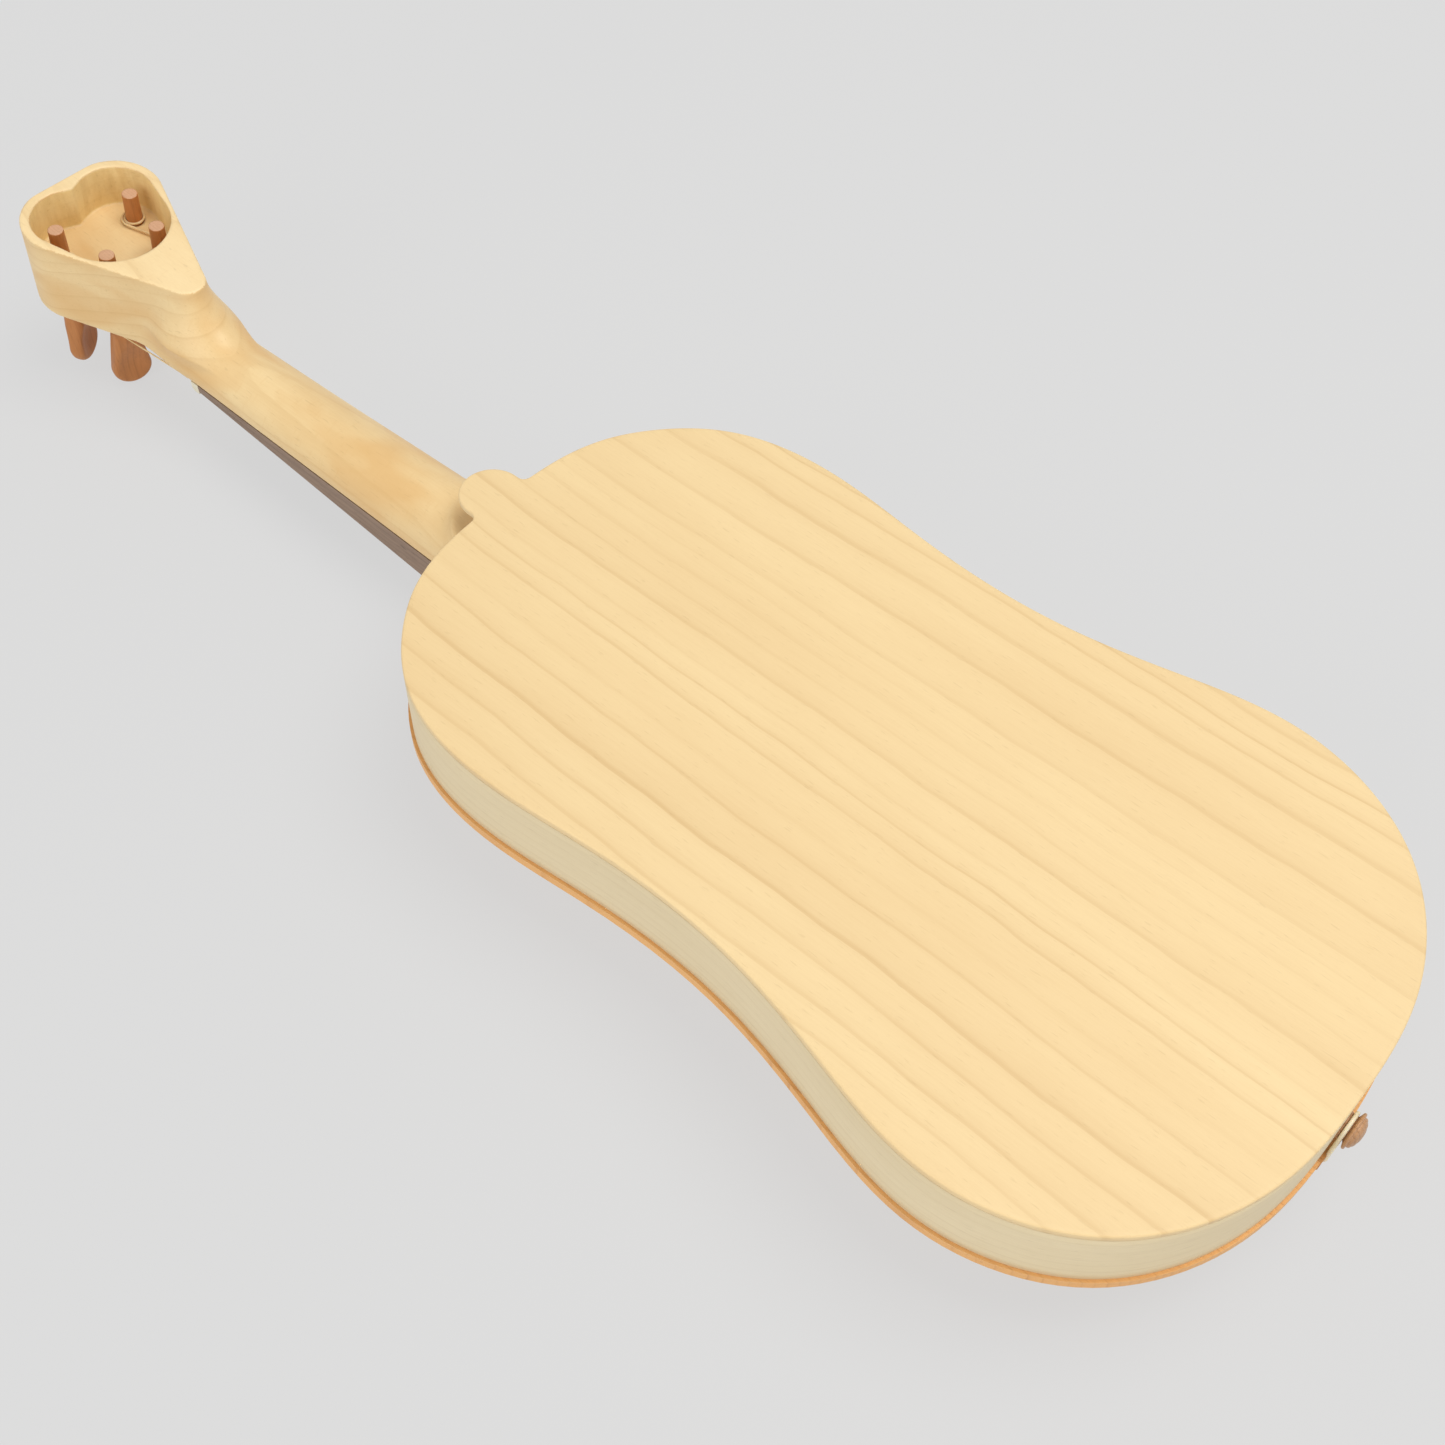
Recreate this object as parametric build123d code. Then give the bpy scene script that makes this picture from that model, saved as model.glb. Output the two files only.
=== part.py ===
from build123d import *
import os
from math import acos, atan, atan2, cos, degrees, hypot, radians, sin, tan

# A four-string medieval fiddle (vielle) with a waisted body and a heart-shaped pegbox that is
# open at the back. All lengths are in mm. While it is being made, X runs from the tail end of the
# back (X 0) to the head, Y runs across the body and Z runs out of the back (outer face at Z 0), so
# the strings are on the -Z side. Every sub-part is moved once, as it is saved, so that the origin
# is under the middle of the finished fiddle, on the surface that the bridge and the pegs lie on.

# Body
BODY_LENGTH = 380.2
BODY_DEPTH = 38.6
BACK_THICK = 3.0
TOP_THICK = 4.0
TOP_OVERHANG = 1.2
RIB_THICK = 1.6
HALF_OUTLINE = [
    (0, 0), (3.7, 41.2), (34, 92.1), (87.2, 112.1), (140.6, 102.8), (179.1, 95), (211.7, 92.9),
    (246.6, 94.8), (296, 98.6), (339.2, 88.3), (363, 67.2), (371.5, 54), (377.2, 38), (379.8, 19),
    (BODY_LENGTH, 0),
]
OFFSET_STEPS = 32
TAB_RADIUS = 13.0
TAB_CENTRE_X = 385.0

# Inside the body
BLOCK_LENGTH = 20.0
NECK_BLOCK_WIDTH = 54.0
END_BLOCK_WIDTH = 46.0
LINING_THICK = 2.4
LINING_HEIGHT = 6.0
BRACE_WIDTH = 6.0
BRACE_HEIGHT = 7.0
BACK_BRACE_X = (90.0, 205.0, 300.0)
BASS_BAR_LENGTH = 230.0
BASS_BAR_Y = 17.0
SOUND_POST_DIAMETER = 6.0
SOUND_POST_XY = (176.0, -17.0)

# Neck and fingerboard
NECK_FRONT_Z = -39.6
NUT_X = 556.0
NUT_LENGTH = 4.6
NUT_HALF_WIDTH = 16.3
NUT_PROUD = 1.3
BODY_JOINT_HALF_WIDTH = 19.8
NECK_SIDE = 2.5
NECK_STATIONS = (
    # distance from the tail, height of the round back
    (372.0, -16.6), (402.0, -18.0), (447.0, -20.0),
    (487.0, -22.2), (530.0, -23.0), (566.0, -19.0),
)
HEEL_INSET = 0.4
HEEL_FLARE = 3.2
HEEL_FOOT_Z = -25.0
DOWEL_DIAMETER = 8.0
DOWEL_LENGTH = 34.0
DOWEL_Z = -22.0
BOARD_END_X = 305.0
BOARD_SIDE_AT_NUT = 3.5
BOARD_SLOPE = 0.0752
BOARD_FREE_THICK = 7.5
BOARD_CROWN_RADIUS = 150.0

# Heart-shaped pegbox, drawn on its back face with U 0 at the point of the heart
PEGBOX_TILT = degrees(atan(0.1127))
PEGBOX_TIP = (562.3, 0.32)
PEGBOX_DEPTH = 41.5
PEGBOX_FRONT_ROUND = 13.0
HEART_TIP_RADIUS = 8.2
HEART_LOBE = (70.6, 11.2, 21.7)
CAVITY_DEPTH = 21.0
CAVITY_ROUND = (57.3, 25.0)
CAVITY_LOBE = (70.4, 11.5, 17.3)
PEG_PLACES = ((71.1, -19.7), (44.7, -13.5), (44.7, 13.5), (71.1, 19.7))
PEG_TURN = (20.0, 95.0, 74.0, 119.0)
PEG_BELOW_FACE = (5.4, 2.6, 2.6, 2.6)
PEG_END_RADIUS = 3.4
PEG_HEAD_RADIUS = 4.2
PEG_CLEARANCE = 0.05
PEG_NECK_LENGTH = 3.0
PEG_HEAD_WIDTH = 18.4
PEG_HEAD_THICK = 10.5
PEG_WAIST_THICK = 6.4
WINDING_RADIUS = 4.8
WINDING_HEIGHT = 2.6
WINDING_GAP = 0.2
STRING_HOLE_RADIUS = 1.3
STRING_HOLE_PLACES = ((51.5, -20.5), (37.2, -5.2), (37.2, 5.2), (51.5, 20.5))
STRING_SIDES = (-1, -1, 1, 1)
STRING_GAP = 0.3

# Strings, bridge and tailpiece
BRIDGE_X = 185.0
BRIDGE_TOP_Z = -74.0
BRIDGE_FOOT_HALF = 25.0
BRIDGE_TOP_HALF = 23.0
BRIDGE_THICK = 9.0
BRIDGE_TOP_THICK = 3.0
BRIDGE_ARCH_HALF = 15.0
BRIDGE_ARCH_HEIGHT = 15.0
STRING_RADII = (0.55, 0.45, 0.4, 0.35)
STRING_AT_BRIDGE = (-19.5, -6.5, 6.5, 19.5)
STRING_AT_NUT = (-12.0, -4.0, 4.0, 12.0)
BRIDGE_CROWN_RADIUS = 150.0
TAIL_LENGTH = 92.0
TAIL_START_X = 24.0
TAIL_THICK = 6.0
TAIL_HALF_WIDTHS = (13.0, 21.0)
TAIL_HOLE_RADIUS = 1.7
SADDLE_HALF_WIDTH = 9.8
SADDLE_TOP_Z = -40.4
SADDLE_PROUD = 1.4
SADDLE_INLET = 5.0
BUTTON_Z = -22.4
BUTTON_NECK_RADIUS = 4.5
SHANK_LENGTH = 18.0
SHANK_RADIUS = 3.5
GUT_RADIUS = 0.75
GUT_SUNK = 0.6
GUT_HALF_SPREAD = 5.4
GUT_RING_X = -1.65

# The saved frame: X 0 is midway between the end button and the head, Z 0 is under the bridge
BUTTON_LENGTH = 7.0
HEAD_END_X = (
    PEGBOX_TIP[0] + PEGBOX_FRONT_ROUND
    + (HEART_LOBE[0] + HEART_LOBE[2] - PEGBOX_FRONT_ROUND) * cos(radians(PEGBOX_TILT))
    + (PEGBOX_DEPTH - PEGBOX_FRONT_ROUND) * sin(radians(PEGBOX_TILT))
)
TO_ROW = Pos(-0.5 * (HEAD_END_X - BUTTON_LENGTH), 0, -BRIDGE_TOP_Z)

os.makedirs("parts", exist_ok=True)


def save(node, shape):
    export_step(TO_ROW * shape, f"parts/{node}.step")


def slab(face, top_z, bottom_z):
    """The solid under a flat face, from top_z down to bottom_z."""
    return Pos(0, 0, top_z) * extrude(face, amount=top_z - bottom_z, dir=(0, 0, -1))


def block(x_range, y_range, z_range):
    """A plain box between two corners."""
    ranges = (x_range, y_range, z_range)
    sizes = [high - low for low, high in ranges]
    middle = [0.5 * (high + low) for low, high in ranges]
    return Pos(*middle) * Box(*sizes)


def half_outline(grow=0.0):
    """The left half of the body's outline, moved outward by grow."""
    ends = {"tangents": [(0, 1), (0, -1)], "tangent_scalars": [1, 1]}
    half = Spline(*HALF_OUTLINE, **ends)
    if not grow:
        return half
    moved = []
    for step in range(OFFSET_STEPS + 1):
        share = step / OFFSET_STEPS
        along = half % share
        moved.append(half @ share + Vector(-along.Y, along.X) * grow)
    return Spline(*moved, **ends)


def body_face(grow=0.0):
    half = half_outline(grow)
    return make_face(half + mirror(half, about=Plane.XZ))


def half_ring(side, outer_grow, inner_grow):
    """The strip between two offsets of the outline, on the left (side 1) or right (side -1)."""
    outer = half_outline(outer_grow)
    inner = half_outline(inner_grow)
    ends = [Line(outer @ share, inner @ share) for share in (0, 1)]
    strip = make_face([outer, ends[1], inner, ends[0]])
    return strip if side > 0 else mirror(strip, about=Plane.XZ)


RIB_TOP_Z = -BACK_THICK
RIB_BOTTOM_Z = -BODY_DEPTH + TOP_THICK
INNER_FACE = body_face(-RIB_THICK)
INSIDE = slab(INNER_FACE, RIB_TOP_Z, RIB_BOTTOM_Z)
SIDES = {"left": 1, "right": -1}
END_BLOCK_BOX = block((-5, BLOCK_LENGTH), (-0.5 * END_BLOCK_WIDTH, 0.5 * END_BLOCK_WIDTH), (-60, 10))
NECK_BLOCK_BOX = block(
    (BODY_LENGTH - BLOCK_LENGTH, BODY_LENGTH + 5),
    (-0.5 * NECK_BLOCK_WIDTH, 0.5 * NECK_BLOCK_WIDTH),
    (-60, 10),
)


def along_x(x_start, length, radius, z):
    """A round bar along X."""
    return Pos(x_start + 0.5 * length, 0, z) * Rot(0, 90, 0) * Cylinder(radius, length)


DOWEL = along_x(BODY_LENGTH - 0.5 * DOWEL_LENGTH - 1.5, DOWEL_LENGTH, 0.5 * DOWEL_DIAMETER, DOWEL_Z)


def end_button():
    """A turned button on a round shank, its axis along X."""
    profile = [
        (0, SHANK_LENGTH), (SHANK_RADIUS, SHANK_LENGTH), (SHANK_RADIUS, 0.0), (5.0, 0.0),
        (5.0, -0.5), (BUTTON_NECK_RADIUS, -0.9),
        (BUTTON_NECK_RADIUS, -2.4), (6.2, -3.4), (7.0, -3.6), (7.0, -4.3), (6.4, -4.6),
        (6.0, -5.8), (4.6, -6.6), (2.4, -BUTTON_LENGTH + 0.05), (0, -BUTTON_LENGTH),
    ]
    turned = revolve(make_face(Polyline(*profile, close=True)), axis=Axis.Y)
    return Pos(0, 0, BUTTON_Z) * Rot(0, 0, -90) * turned


BUTTON = end_button()
SHANK_HOLE = along_x(-5, SHANK_LENGTH + 5, SHANK_RADIUS, BUTTON_Z)


def tab_face(grow=0.0):
    """The round tab over the heel, with its straight root inside the body."""
    radius = TAB_RADIUS + grow
    root = Pos(TAB_CENTRE_X - 10, 0) * Rectangle(20, 2 * radius)
    return Pos(TAB_CENTRE_X, 0) * Circle(radius) + root


def back_plate():
    """The flat back, with the round tab that covers the heel of the neck."""
    return slab(body_face() + tab_face(), 0, -BACK_THICK)


def sound_hole(side):
    """A C-shaped hole that bulges outward, with a round eye at each end."""
    centre = (190.0, side * 37.0)
    radius = 25.0
    arc = CenterArc(centre, radius, 20 if side > 0 else 200, 140)
    hole = SlotArc(arc, height=5.0)
    for end in (arc @ 0, arc @ 1):
        hole += Pos(end.X, end.Y) * Circle(4.4)
    return hole


def top_plate():
    plate = slab(body_face(TOP_OVERHANG), RIB_BOTTOM_Z, -BODY_DEPTH)
    for side in (-1, 1):
        plate -= slab(sound_hole(side), 0, -60)
    return plate


def saddle():
    """The hardwood rest at the tail that the tail gut bends over."""
    z_range = (SADDLE_TOP_Z, RIB_BOTTOM_Z)
    body = block((-SADDLE_PROUD, SADDLE_INLET), (-SADDLE_HALF_WIDTH, SADDLE_HALF_WIDTH), z_range)
    outer_edges = body.edges().filter_by(Axis.Y).group_by(Axis.Z)[0]
    return fillet(outer_edges, 1.1)


def rib(side):
    strip = slab(half_ring(side, 0, -RIB_THICK), RIB_TOP_Z, RIB_BOTTOM_Z)
    return strip - DOWEL - SHANK_HOLE


def lining(side, high):
    """A strip that widens the glue joint between a rib and a plate, between the two blocks."""
    ring = half_ring(side, -RIB_THICK, -RIB_THICK - LINING_THICK)
    return slab(ring, high, high - LINING_HEIGHT) - END_BLOCK_BOX - NECK_BLOCK_BOX


def back_brace(x):
    """A cross bar under the back, let in between the linings."""
    bar = block((x - 0.5 * BRACE_WIDTH, x + 0.5 * BRACE_WIDTH), (-130, 130),
                (-BACK_THICK - BRACE_HEIGHT, -BACK_THICK))
    return bar & slab(body_face(-RIB_THICK - LINING_THICK), 0, -BODY_DEPTH)


def bass_bar():
    middle = 0.5 * BODY_LENGTH
    low = RIB_BOTTOM_Z
    half = 0.5 * BASS_BAR_LENGTH
    profile = Polyline(
        (middle - half, low), (middle + half, low), (middle + half, low + 2.0),
        (middle + 0.45 * half, low + 8.0), (middle - 0.45 * half, low + 8.0),
        (middle - half, low + 2.0), close=True,
    )
    bar = extrude(Plane.XZ * make_face(profile), amount=2.5, both=True)
    return Pos(0, BASS_BAR_Y, 0) * bar


def sound_post():
    height = RIB_TOP_Z - RIB_BOTTOM_Z
    x, y = SOUND_POST_XY
    return Pos(x, y, RIB_BOTTOM_Z + 0.5 * height) * Cylinder(0.5 * SOUND_POST_DIAMETER, height)


def half_width(x):
    """Half the width of the neck and the fingerboard, which widen evenly from the nut."""
    share = (NUT_X - x) / (NUT_X - BODY_LENGTH)
    return NUT_HALF_WIDTH + (BODY_JOINT_HALF_WIDTH - NUT_HALF_WIDTH) * share


def neck_section(x, back_z):
    """A D-shaped slice across the neck: flat in front, short straight sides, a round back."""
    half = half_width(min(x, NUT_X))
    side_z = NECK_FRONT_Z + NECK_SIDE
    flat = Polyline((half, side_z), (half, NECK_FRONT_Z), (-half, NECK_FRONT_Z), (-half, side_z))
    rounded = EllipticalCenterArc((0, side_z), half, back_z - side_z, start_angle=0, arc_size=180)
    plane = Plane(origin=(x, 0, 0), x_dir=(0, 1, 0), z_dir=(1, 0, 0))
    return plane * make_face(flat + rounded)


PEG_FACE = Plane(
    origin=(PEGBOX_TIP[0], 0, PEGBOX_TIP[1]),
    x_dir=(cos(radians(PEGBOX_TILT)), 0, sin(radians(PEGBOX_TILT))),
    z_dir=(-sin(radians(PEGBOX_TILT)), 0, cos(radians(PEGBOX_TILT))),
)


def on_face(u, v, depth=0.0):
    """A point under the back face of the pegbox, as an x, y, z triple."""
    point = PEG_FACE.from_local_coords((u, v, -depth))
    return (point.X, point.Y, point.Z)


def disc(centre_u, centre_v, radius):
    return Pos(centre_u, centre_v) * Circle(radius)


def heart_outside():
    u, v, radius = HEART_LOBE
    tip = disc(HEART_TIP_RADIUS, 0, HEART_TIP_RADIUS)
    return make_hull((tip.edges() + disc(u, v, radius).edges() + disc(u, -v, radius).edges()))


def heart_cavity():
    """Two lobes, each joined to the round lower end, which leaves the cusp between them."""
    u, v, radius = CAVITY_LOBE
    lower = disc(CAVITY_ROUND[0], 0, CAVITY_ROUND[1])
    halves = [make_hull(lower.edges() + disc(u, side * v, radius).edges()) for side in (-1, 1)]
    return halves[0] + halves[1]


def peg_axis(number):
    u, v = PEG_PLACES[number]
    return PEG_FACE * Pos(u, v, 0)


def peg_cone(number, clearance=0.0):
    """The tapered shaft of a peg, from its end in the cavity to inside its head."""
    end = PEG_BELOW_FACE[number]
    length = PEGBOX_DEPTH - end + PEG_NECK_LENGTH + 0.5
    cone = Cone(PEG_HEAD_RADIUS + clearance, PEG_END_RADIUS + clearance, length)
    return peg_axis(number) * Pos(0, 0, -end - 0.5 * length) * cone


def pegbox():
    """The heart-shaped box: its head end is rounded toward the front."""
    length = HEART_LOBE[0] + HEART_LOBE[2]
    box = extrude(heart_outside(), amount=-PEGBOX_DEPTH)
    side_view = Plane.XZ * Pos(0.5 * length, -0.5 * PEGBOX_DEPTH) * Rectangle(length, PEGBOX_DEPTH)
    envelope = extrude(side_view, amount=50, both=True)
    corner = envelope.edges().filter_by(Axis.Y).sort_by(lambda edge: edge.center().X - edge.center().Z)
    box &= fillet(corner[-1], PEGBOX_FRONT_ROUND)
    box -= extrude(heart_cavity(), amount=-CAVITY_DEPTH)
    for u, v in STRING_HOLE_PLACES:
        box -= Pos(u, v, -PEGBOX_DEPTH) * Cylinder(STRING_HOLE_RADIUS, PEGBOX_DEPTH)
    return PEG_FACE * box


def heel():
    """The post that carries the tab: the tab's outline, widening on its way down into the neck."""
    upper = Pos(0, 0, -BACK_THICK) * tab_face(-HEEL_INSET)
    lower = Pos(0, 0, HEEL_FOOT_Z) * tab_face(HEEL_FLARE)
    return loft([upper, lower])


def neck(top):
    """Heel, neck and heart-shaped pegbox, carved from one piece."""
    stations = [neck_section(x, back_z) for x, back_z in NECK_STATIONS]
    shaft = loft(stations)
    body = slab(body_face(), 10, -60)
    piece = ((shaft + heel()) - body) + pegbox_root() + pegbox()
    for number in range(len(PEG_PLACES)):
        piece -= peg_cone(number, PEG_CLEARANCE)
    return piece - top - DOWEL


def pegbox_root():
    """The swelling that joins the neck to the point of the heart."""
    near = neck_section(546.0, -22.8)
    far_x = 580.0
    half = NUT_HALF_WIDTH
    high = PEGBOX_TIP[1] + (far_x - PEGBOX_TIP[0]) * tan(radians(PEGBOX_TILT)) - 4.0
    side_z = NECK_FRONT_Z + 2.0 + NECK_SIDE
    flat = Polyline((half, side_z), (half, side_z - NECK_SIDE), (-half, side_z - NECK_SIDE), (-half, side_z))
    rounded = EllipticalCenterArc((0, side_z), half, high - side_z, start_angle=0, arc_size=180)
    plane = Plane(origin=(far_x, 0, 0), x_dir=(0, 1, 0), z_dir=(1, 0, 0))
    return loft([near, plane * make_face(flat + rounded)])


def board_section(x, bottom_z, thick=None):
    """A slice across the fingerboard, with its crowned playing face toward -Z."""
    half = half_width(x)
    side_z = NECK_FRONT_Z - BOARD_SIDE_AT_NUT - BOARD_SLOPE * (NUT_X - x)
    if thick:
        bottom_z = side_z + thick
    crown = half * half / (2 * BOARD_CROWN_RADIUS)
    edge = Polyline((half, side_z), (half, bottom_z), (-half, bottom_z), (-half, side_z))
    face = ThreePointArc((-half, side_z), (0, side_z - crown), (half, side_z))
    plane = Plane(origin=(x, 0, 0), x_dir=(0, 1, 0), z_dir=(1, 0, 0))
    return plane * make_face(edge + face)


def fingerboard():
    """A wedge on the neck that runs out free over the body."""
    joint_x = BODY_LENGTH + TOP_OVERHANG
    on_neck = loft([board_section(NUT_X, NECK_FRONT_Z), board_section(joint_x, NECK_FRONT_Z)], ruled=True)
    free = loft(
        [board_section(joint_x, 0, BOARD_FREE_THICK), board_section(BOARD_END_X, 0, BOARD_FREE_THICK)],
        ruled=True,
    )
    return on_neck + free


STRING_COUNT = len(STRING_AT_NUT)
NUT_TOP_Z = NECK_FRONT_Z - BOARD_SIDE_AT_NUT - NUT_PROUD


def crown_drop(y, radius):
    """How far a crowned edge falls away at a distance from its middle."""
    return y * y / (2 * radius)


def nut_string_z(number):
    half = NUT_HALF_WIDTH
    rise = crown_drop(half, BOARD_CROWN_RADIUS) - crown_drop(STRING_AT_NUT[number], BOARD_CROWN_RADIUS)
    return NUT_TOP_Z - rise + STRING_RADII[number]


def bridge_string_z(number):
    fall = crown_drop(STRING_AT_BRIDGE[number], BRIDGE_CROWN_RADIUS)
    return BRIDGE_TOP_Z + fall + STRING_RADII[number]


def slot_cut(x, y, z, radius, reach):
    """A slot along X for a string whose centre is at y, z, open toward the front."""
    half = radius + 0.3
    return block((x - reach, x + reach), (y - half, y + half), (z - 5, z + radius + 0.2))


def nut():
    half = NUT_HALF_WIDTH
    crown = crown_drop(half, BOARD_CROWN_RADIUS)
    edge = Polyline((half, NUT_TOP_Z), (half, NECK_FRONT_Z), (-half, NECK_FRONT_Z), (-half, NUT_TOP_Z))
    face = ThreePointArc((-half, NUT_TOP_Z), (0, NUT_TOP_Z - crown), (half, NUT_TOP_Z))
    plane = Plane(origin=(NUT_X, 0, 0), x_dir=(0, 1, 0), z_dir=(1, 0, 0))
    bar = extrude(plane * make_face(edge + face), amount=NUT_LENGTH)
    head_edge = bar.faces().sort_by(Axis.X)[-1].edges().sort_by(Axis.Z)[0]
    bar = fillet(head_edge, 2.0)
    for number in range(STRING_COUNT):
        z = nut_string_z(number)
        bar -= slot_cut(NUT_X, STRING_AT_NUT[number], z, STRING_RADII[number], 10)
    return bar


def bridge():
    """A plate on two feet, thinned toward the crowned top edge."""
    foot_z = -BODY_DEPTH
    foot = BRIDGE_FOOT_HALF
    top = BRIDGE_TOP_HALF
    waist = 19.0
    side = Polyline(
        (-foot, foot_z), (-foot, foot_z - 4), (-waist, foot_z - 13), (-top, BRIDGE_TOP_Z + 8),
        (-top, BRIDGE_TOP_Z + crown_drop(top, BRIDGE_CROWN_RADIUS)),
    )
    crown = ThreePointArc(side @ 1, (0, BRIDGE_TOP_Z), mirror(side, about=Plane.YZ) @ 1)
    outline = side + crown + mirror(side, about=Plane.YZ) + Line((-foot, foot_z), (foot, foot_z))
    arch = Pos(0, foot_z) * Ellipse(BRIDGE_ARCH_HALF, BRIDGE_ARCH_HEIGHT)
    plane = Plane(origin=(BRIDGE_X, 0, 0), x_dir=(0, 1, 0), z_dir=(1, 0, 0))
    plate = extrude(plane * (make_face(outline) - arch), amount=0.5 * BRIDGE_THICK, both=True)
    taper = Polyline(
        (BRIDGE_X + 0.5 * BRIDGE_THICK, foot_z), (BRIDGE_X + 0.5 * BRIDGE_THICK, foot_z - 5),
        (BRIDGE_X + 0.5 * BRIDGE_TOP_THICK, BRIDGE_TOP_Z - 1),
        (BRIDGE_X - 0.5 * BRIDGE_TOP_THICK, BRIDGE_TOP_Z - 1),
        (BRIDGE_X - 0.5 * BRIDGE_THICK, foot_z - 5), (BRIDGE_X - 0.5 * BRIDGE_THICK, foot_z), close=True,
    )
    plate &= extrude(Plane.XZ * make_face(taper), amount=60, both=True)
    for number in range(STRING_COUNT):
        y = STRING_AT_BRIDGE[number]
        plate -= slot_cut(BRIDGE_X, y, bridge_string_z(number), STRING_RADII[number], 10)
    return plate


TAIL_SLOPE = (SADDLE_TOP_Z - BRIDGE_TOP_Z) / (BRIDGE_X + SADDLE_PROUD)
TAIL_ANGLE = degrees(atan(TAIL_SLOPE))


def tail_line_z(x):
    """The height of the gut's line from the groove in the saddle toward the top of the bridge."""
    return SADDLE_TOP_Z - GUT_RADIUS + GUT_SUNK - TAIL_SLOPE * (x + SADDLE_PROUD)


def tailpiece():
    """A tapered plate, round at the tail, with four string holes and two holes for the gut."""
    narrow, wide = TAIL_HALF_WIDTHS
    outline = Polyline((0, -narrow), (0, narrow), (TAIL_LENGTH, wide), (TAIL_LENGTH, -wide), close=True)
    sketch = make_face(outline)
    sketch = fillet(sketch.vertices().group_by(Axis.X)[0], 9.0)
    sketch = fillet(sketch.vertices().group_by(Axis.X)[-1], 4.0)
    plate = extrude(sketch, amount=TAIL_THICK)
    plate = fillet(plate.faces().sort_by(Axis.Z)[0].edges(), 1.8)
    for y in tail_hole_ys():
        plate -= Pos(TAIL_LENGTH - 12, y, 0) * Cylinder(TAIL_HOLE_RADIUS, 30)
    for side in (-1, 1):
        channel = Pos(7.0, side * GUT_HALF_SPREAD, 0.5 * TAIL_THICK) * Rot(0, 90, 0)
        plate -= channel * Cylinder(GUT_RADIUS + 0.1, 20)
    return TAIL_PLACE * plate


# The tailpiece hangs centred on the tail gut's line; its outer face is toward -Z
TAIL_PLACE = Pos(TAIL_START_X, 0, tail_line_z(TAIL_START_X) - 0.5 * TAIL_THICK) * Rot(0, TAIL_ANGLE, 0)


def tail_hole_ys():
    spread = 2 * TAIL_HALF_WIDTHS[1] - 13.0
    step = spread / (STRING_COUNT - 1)
    return [-0.5 * spread + step * number for number in range(STRING_COUNT)]


def tail_point(u, v, depth):
    """A point on the tailpiece, depth being measured in from its outer face."""
    place = TAIL_PLACE * Pos(u, v, depth)
    return (place.position.X, place.position.Y, place.position.Z)


def tube(points, radii, radius):
    """A round cord along straight runs joined by tangent arcs."""
    path = FilletPolyline(*points, radius=radii)
    start = Plane(origin=path @ 0, z_dir=path % 0)
    return sweep(start * Circle(radius), path=path)


def string(number):
    """One string: tailpiece hole, bridge, nut, hole in the pegbox front, and on toward its peg."""
    radius = STRING_RADII[number]
    hole_y = tail_hole_ys()[number]
    peg_u, peg_v = PEG_PLACES[number]
    hole_u, hole_v = STRING_HOLE_PLACES[number]
    wind_depth = CAVITY_DEPTH - 0.5 * WINDING_HEIGHT - WINDING_GAP
    reach = WINDING_RADIUS + radius + STRING_GAP
    gap = hypot(peg_u - hole_u, peg_v - hole_v)
    bearing = atan2(hole_v - peg_v, hole_u - peg_u) + STRING_SIDES[number] * acos(reach / gap)
    end_u, end_v = peg_u + reach * cos(bearing), peg_v + reach * sin(bearing)
    points = [
        tail_point(TAIL_LENGTH - 12, hole_y, TAIL_THICK + 1.0),
        tail_point(TAIL_LENGTH - 11.6, hole_y, -radius - 0.9),
        (BRIDGE_X, STRING_AT_BRIDGE[number], bridge_string_z(number)),
        (NUT_X + 0.5 * NUT_LENGTH, STRING_AT_NUT[number], nut_string_z(number) - 0.1),
        on_face(hole_u, hole_v, PEGBOX_DEPTH + 1.2),
        on_face(hole_u, hole_v, wind_depth),
        on_face(end_u, end_v, wind_depth),
    ]
    cord = tube(points, [1.6, 6.0, 6.0, 1.2, 1.2], radius)
    knot = Pos(*points[0]) * Sphere(1.9)
    return cord + (knot - TAILPIECE)


def winding(number):
    """The turns of a string round its peg, as one plain collar."""
    depth = CAVITY_DEPTH - 0.5 * WINDING_HEIGHT - WINDING_GAP
    collar = peg_axis(number) * Pos(0, 0, -depth) * Cylinder(WINDING_RADIUS, WINDING_HEIGHT)
    return collar - peg_cone(number)


def peg_head_length():
    """Long enough for the near pair to reach almost to the level of the bridge's top."""
    u, v = min(PEG_PLACES)
    front = on_face(u, v, PEGBOX_DEPTH + PEG_NECK_LENGTH)
    return (front[2] - BRIDGE_TOP_Z) / cos(radians(PEGBOX_TILT)) - 0.6


def peg(number):
    """A tapered shaft and a leaf-shaped head with a hollow for the thumb on each side."""
    length = peg_head_length()
    half = 0.5 * PEG_HEAD_WIDTH
    neck_half = PEG_HEAD_RADIUS + 0.6
    leaf = (
        Line((-neck_half, 0), (neck_half, 0))
        + Spline((neck_half, 0), (half - 0.4, -0.42 * length), (half, -0.7 * length), (0, -length),
                 tangents=[(0.6, -1), (-1, 0)])
        + Spline((-neck_half, 0), (-half + 0.4, -0.42 * length), (-half, -0.7 * length), (0, -length),
                 tangents=[(-0.6, -1), (1, 0)])
    )
    blade = extrude(Plane.XZ * make_face(leaf), amount=0.5 * PEG_HEAD_THICK, both=True)
    hollow_radius = 34.0
    for side in (-1, 1):
        offset_y = side * (0.5 * PEG_WAIST_THICK + hollow_radius)
        hollow = Pos(0, offset_y, -0.52 * length) * Rot(0, 90, 0) * Cylinder(hollow_radius, 60)
        blade -= hollow
    head = Pos(0, 0, -PEGBOX_DEPTH - PEG_NECK_LENGTH) * Rot(0, 0, PEG_TURN[number]) * blade
    return peg_cone(number) + peg_axis(number) * head


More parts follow.
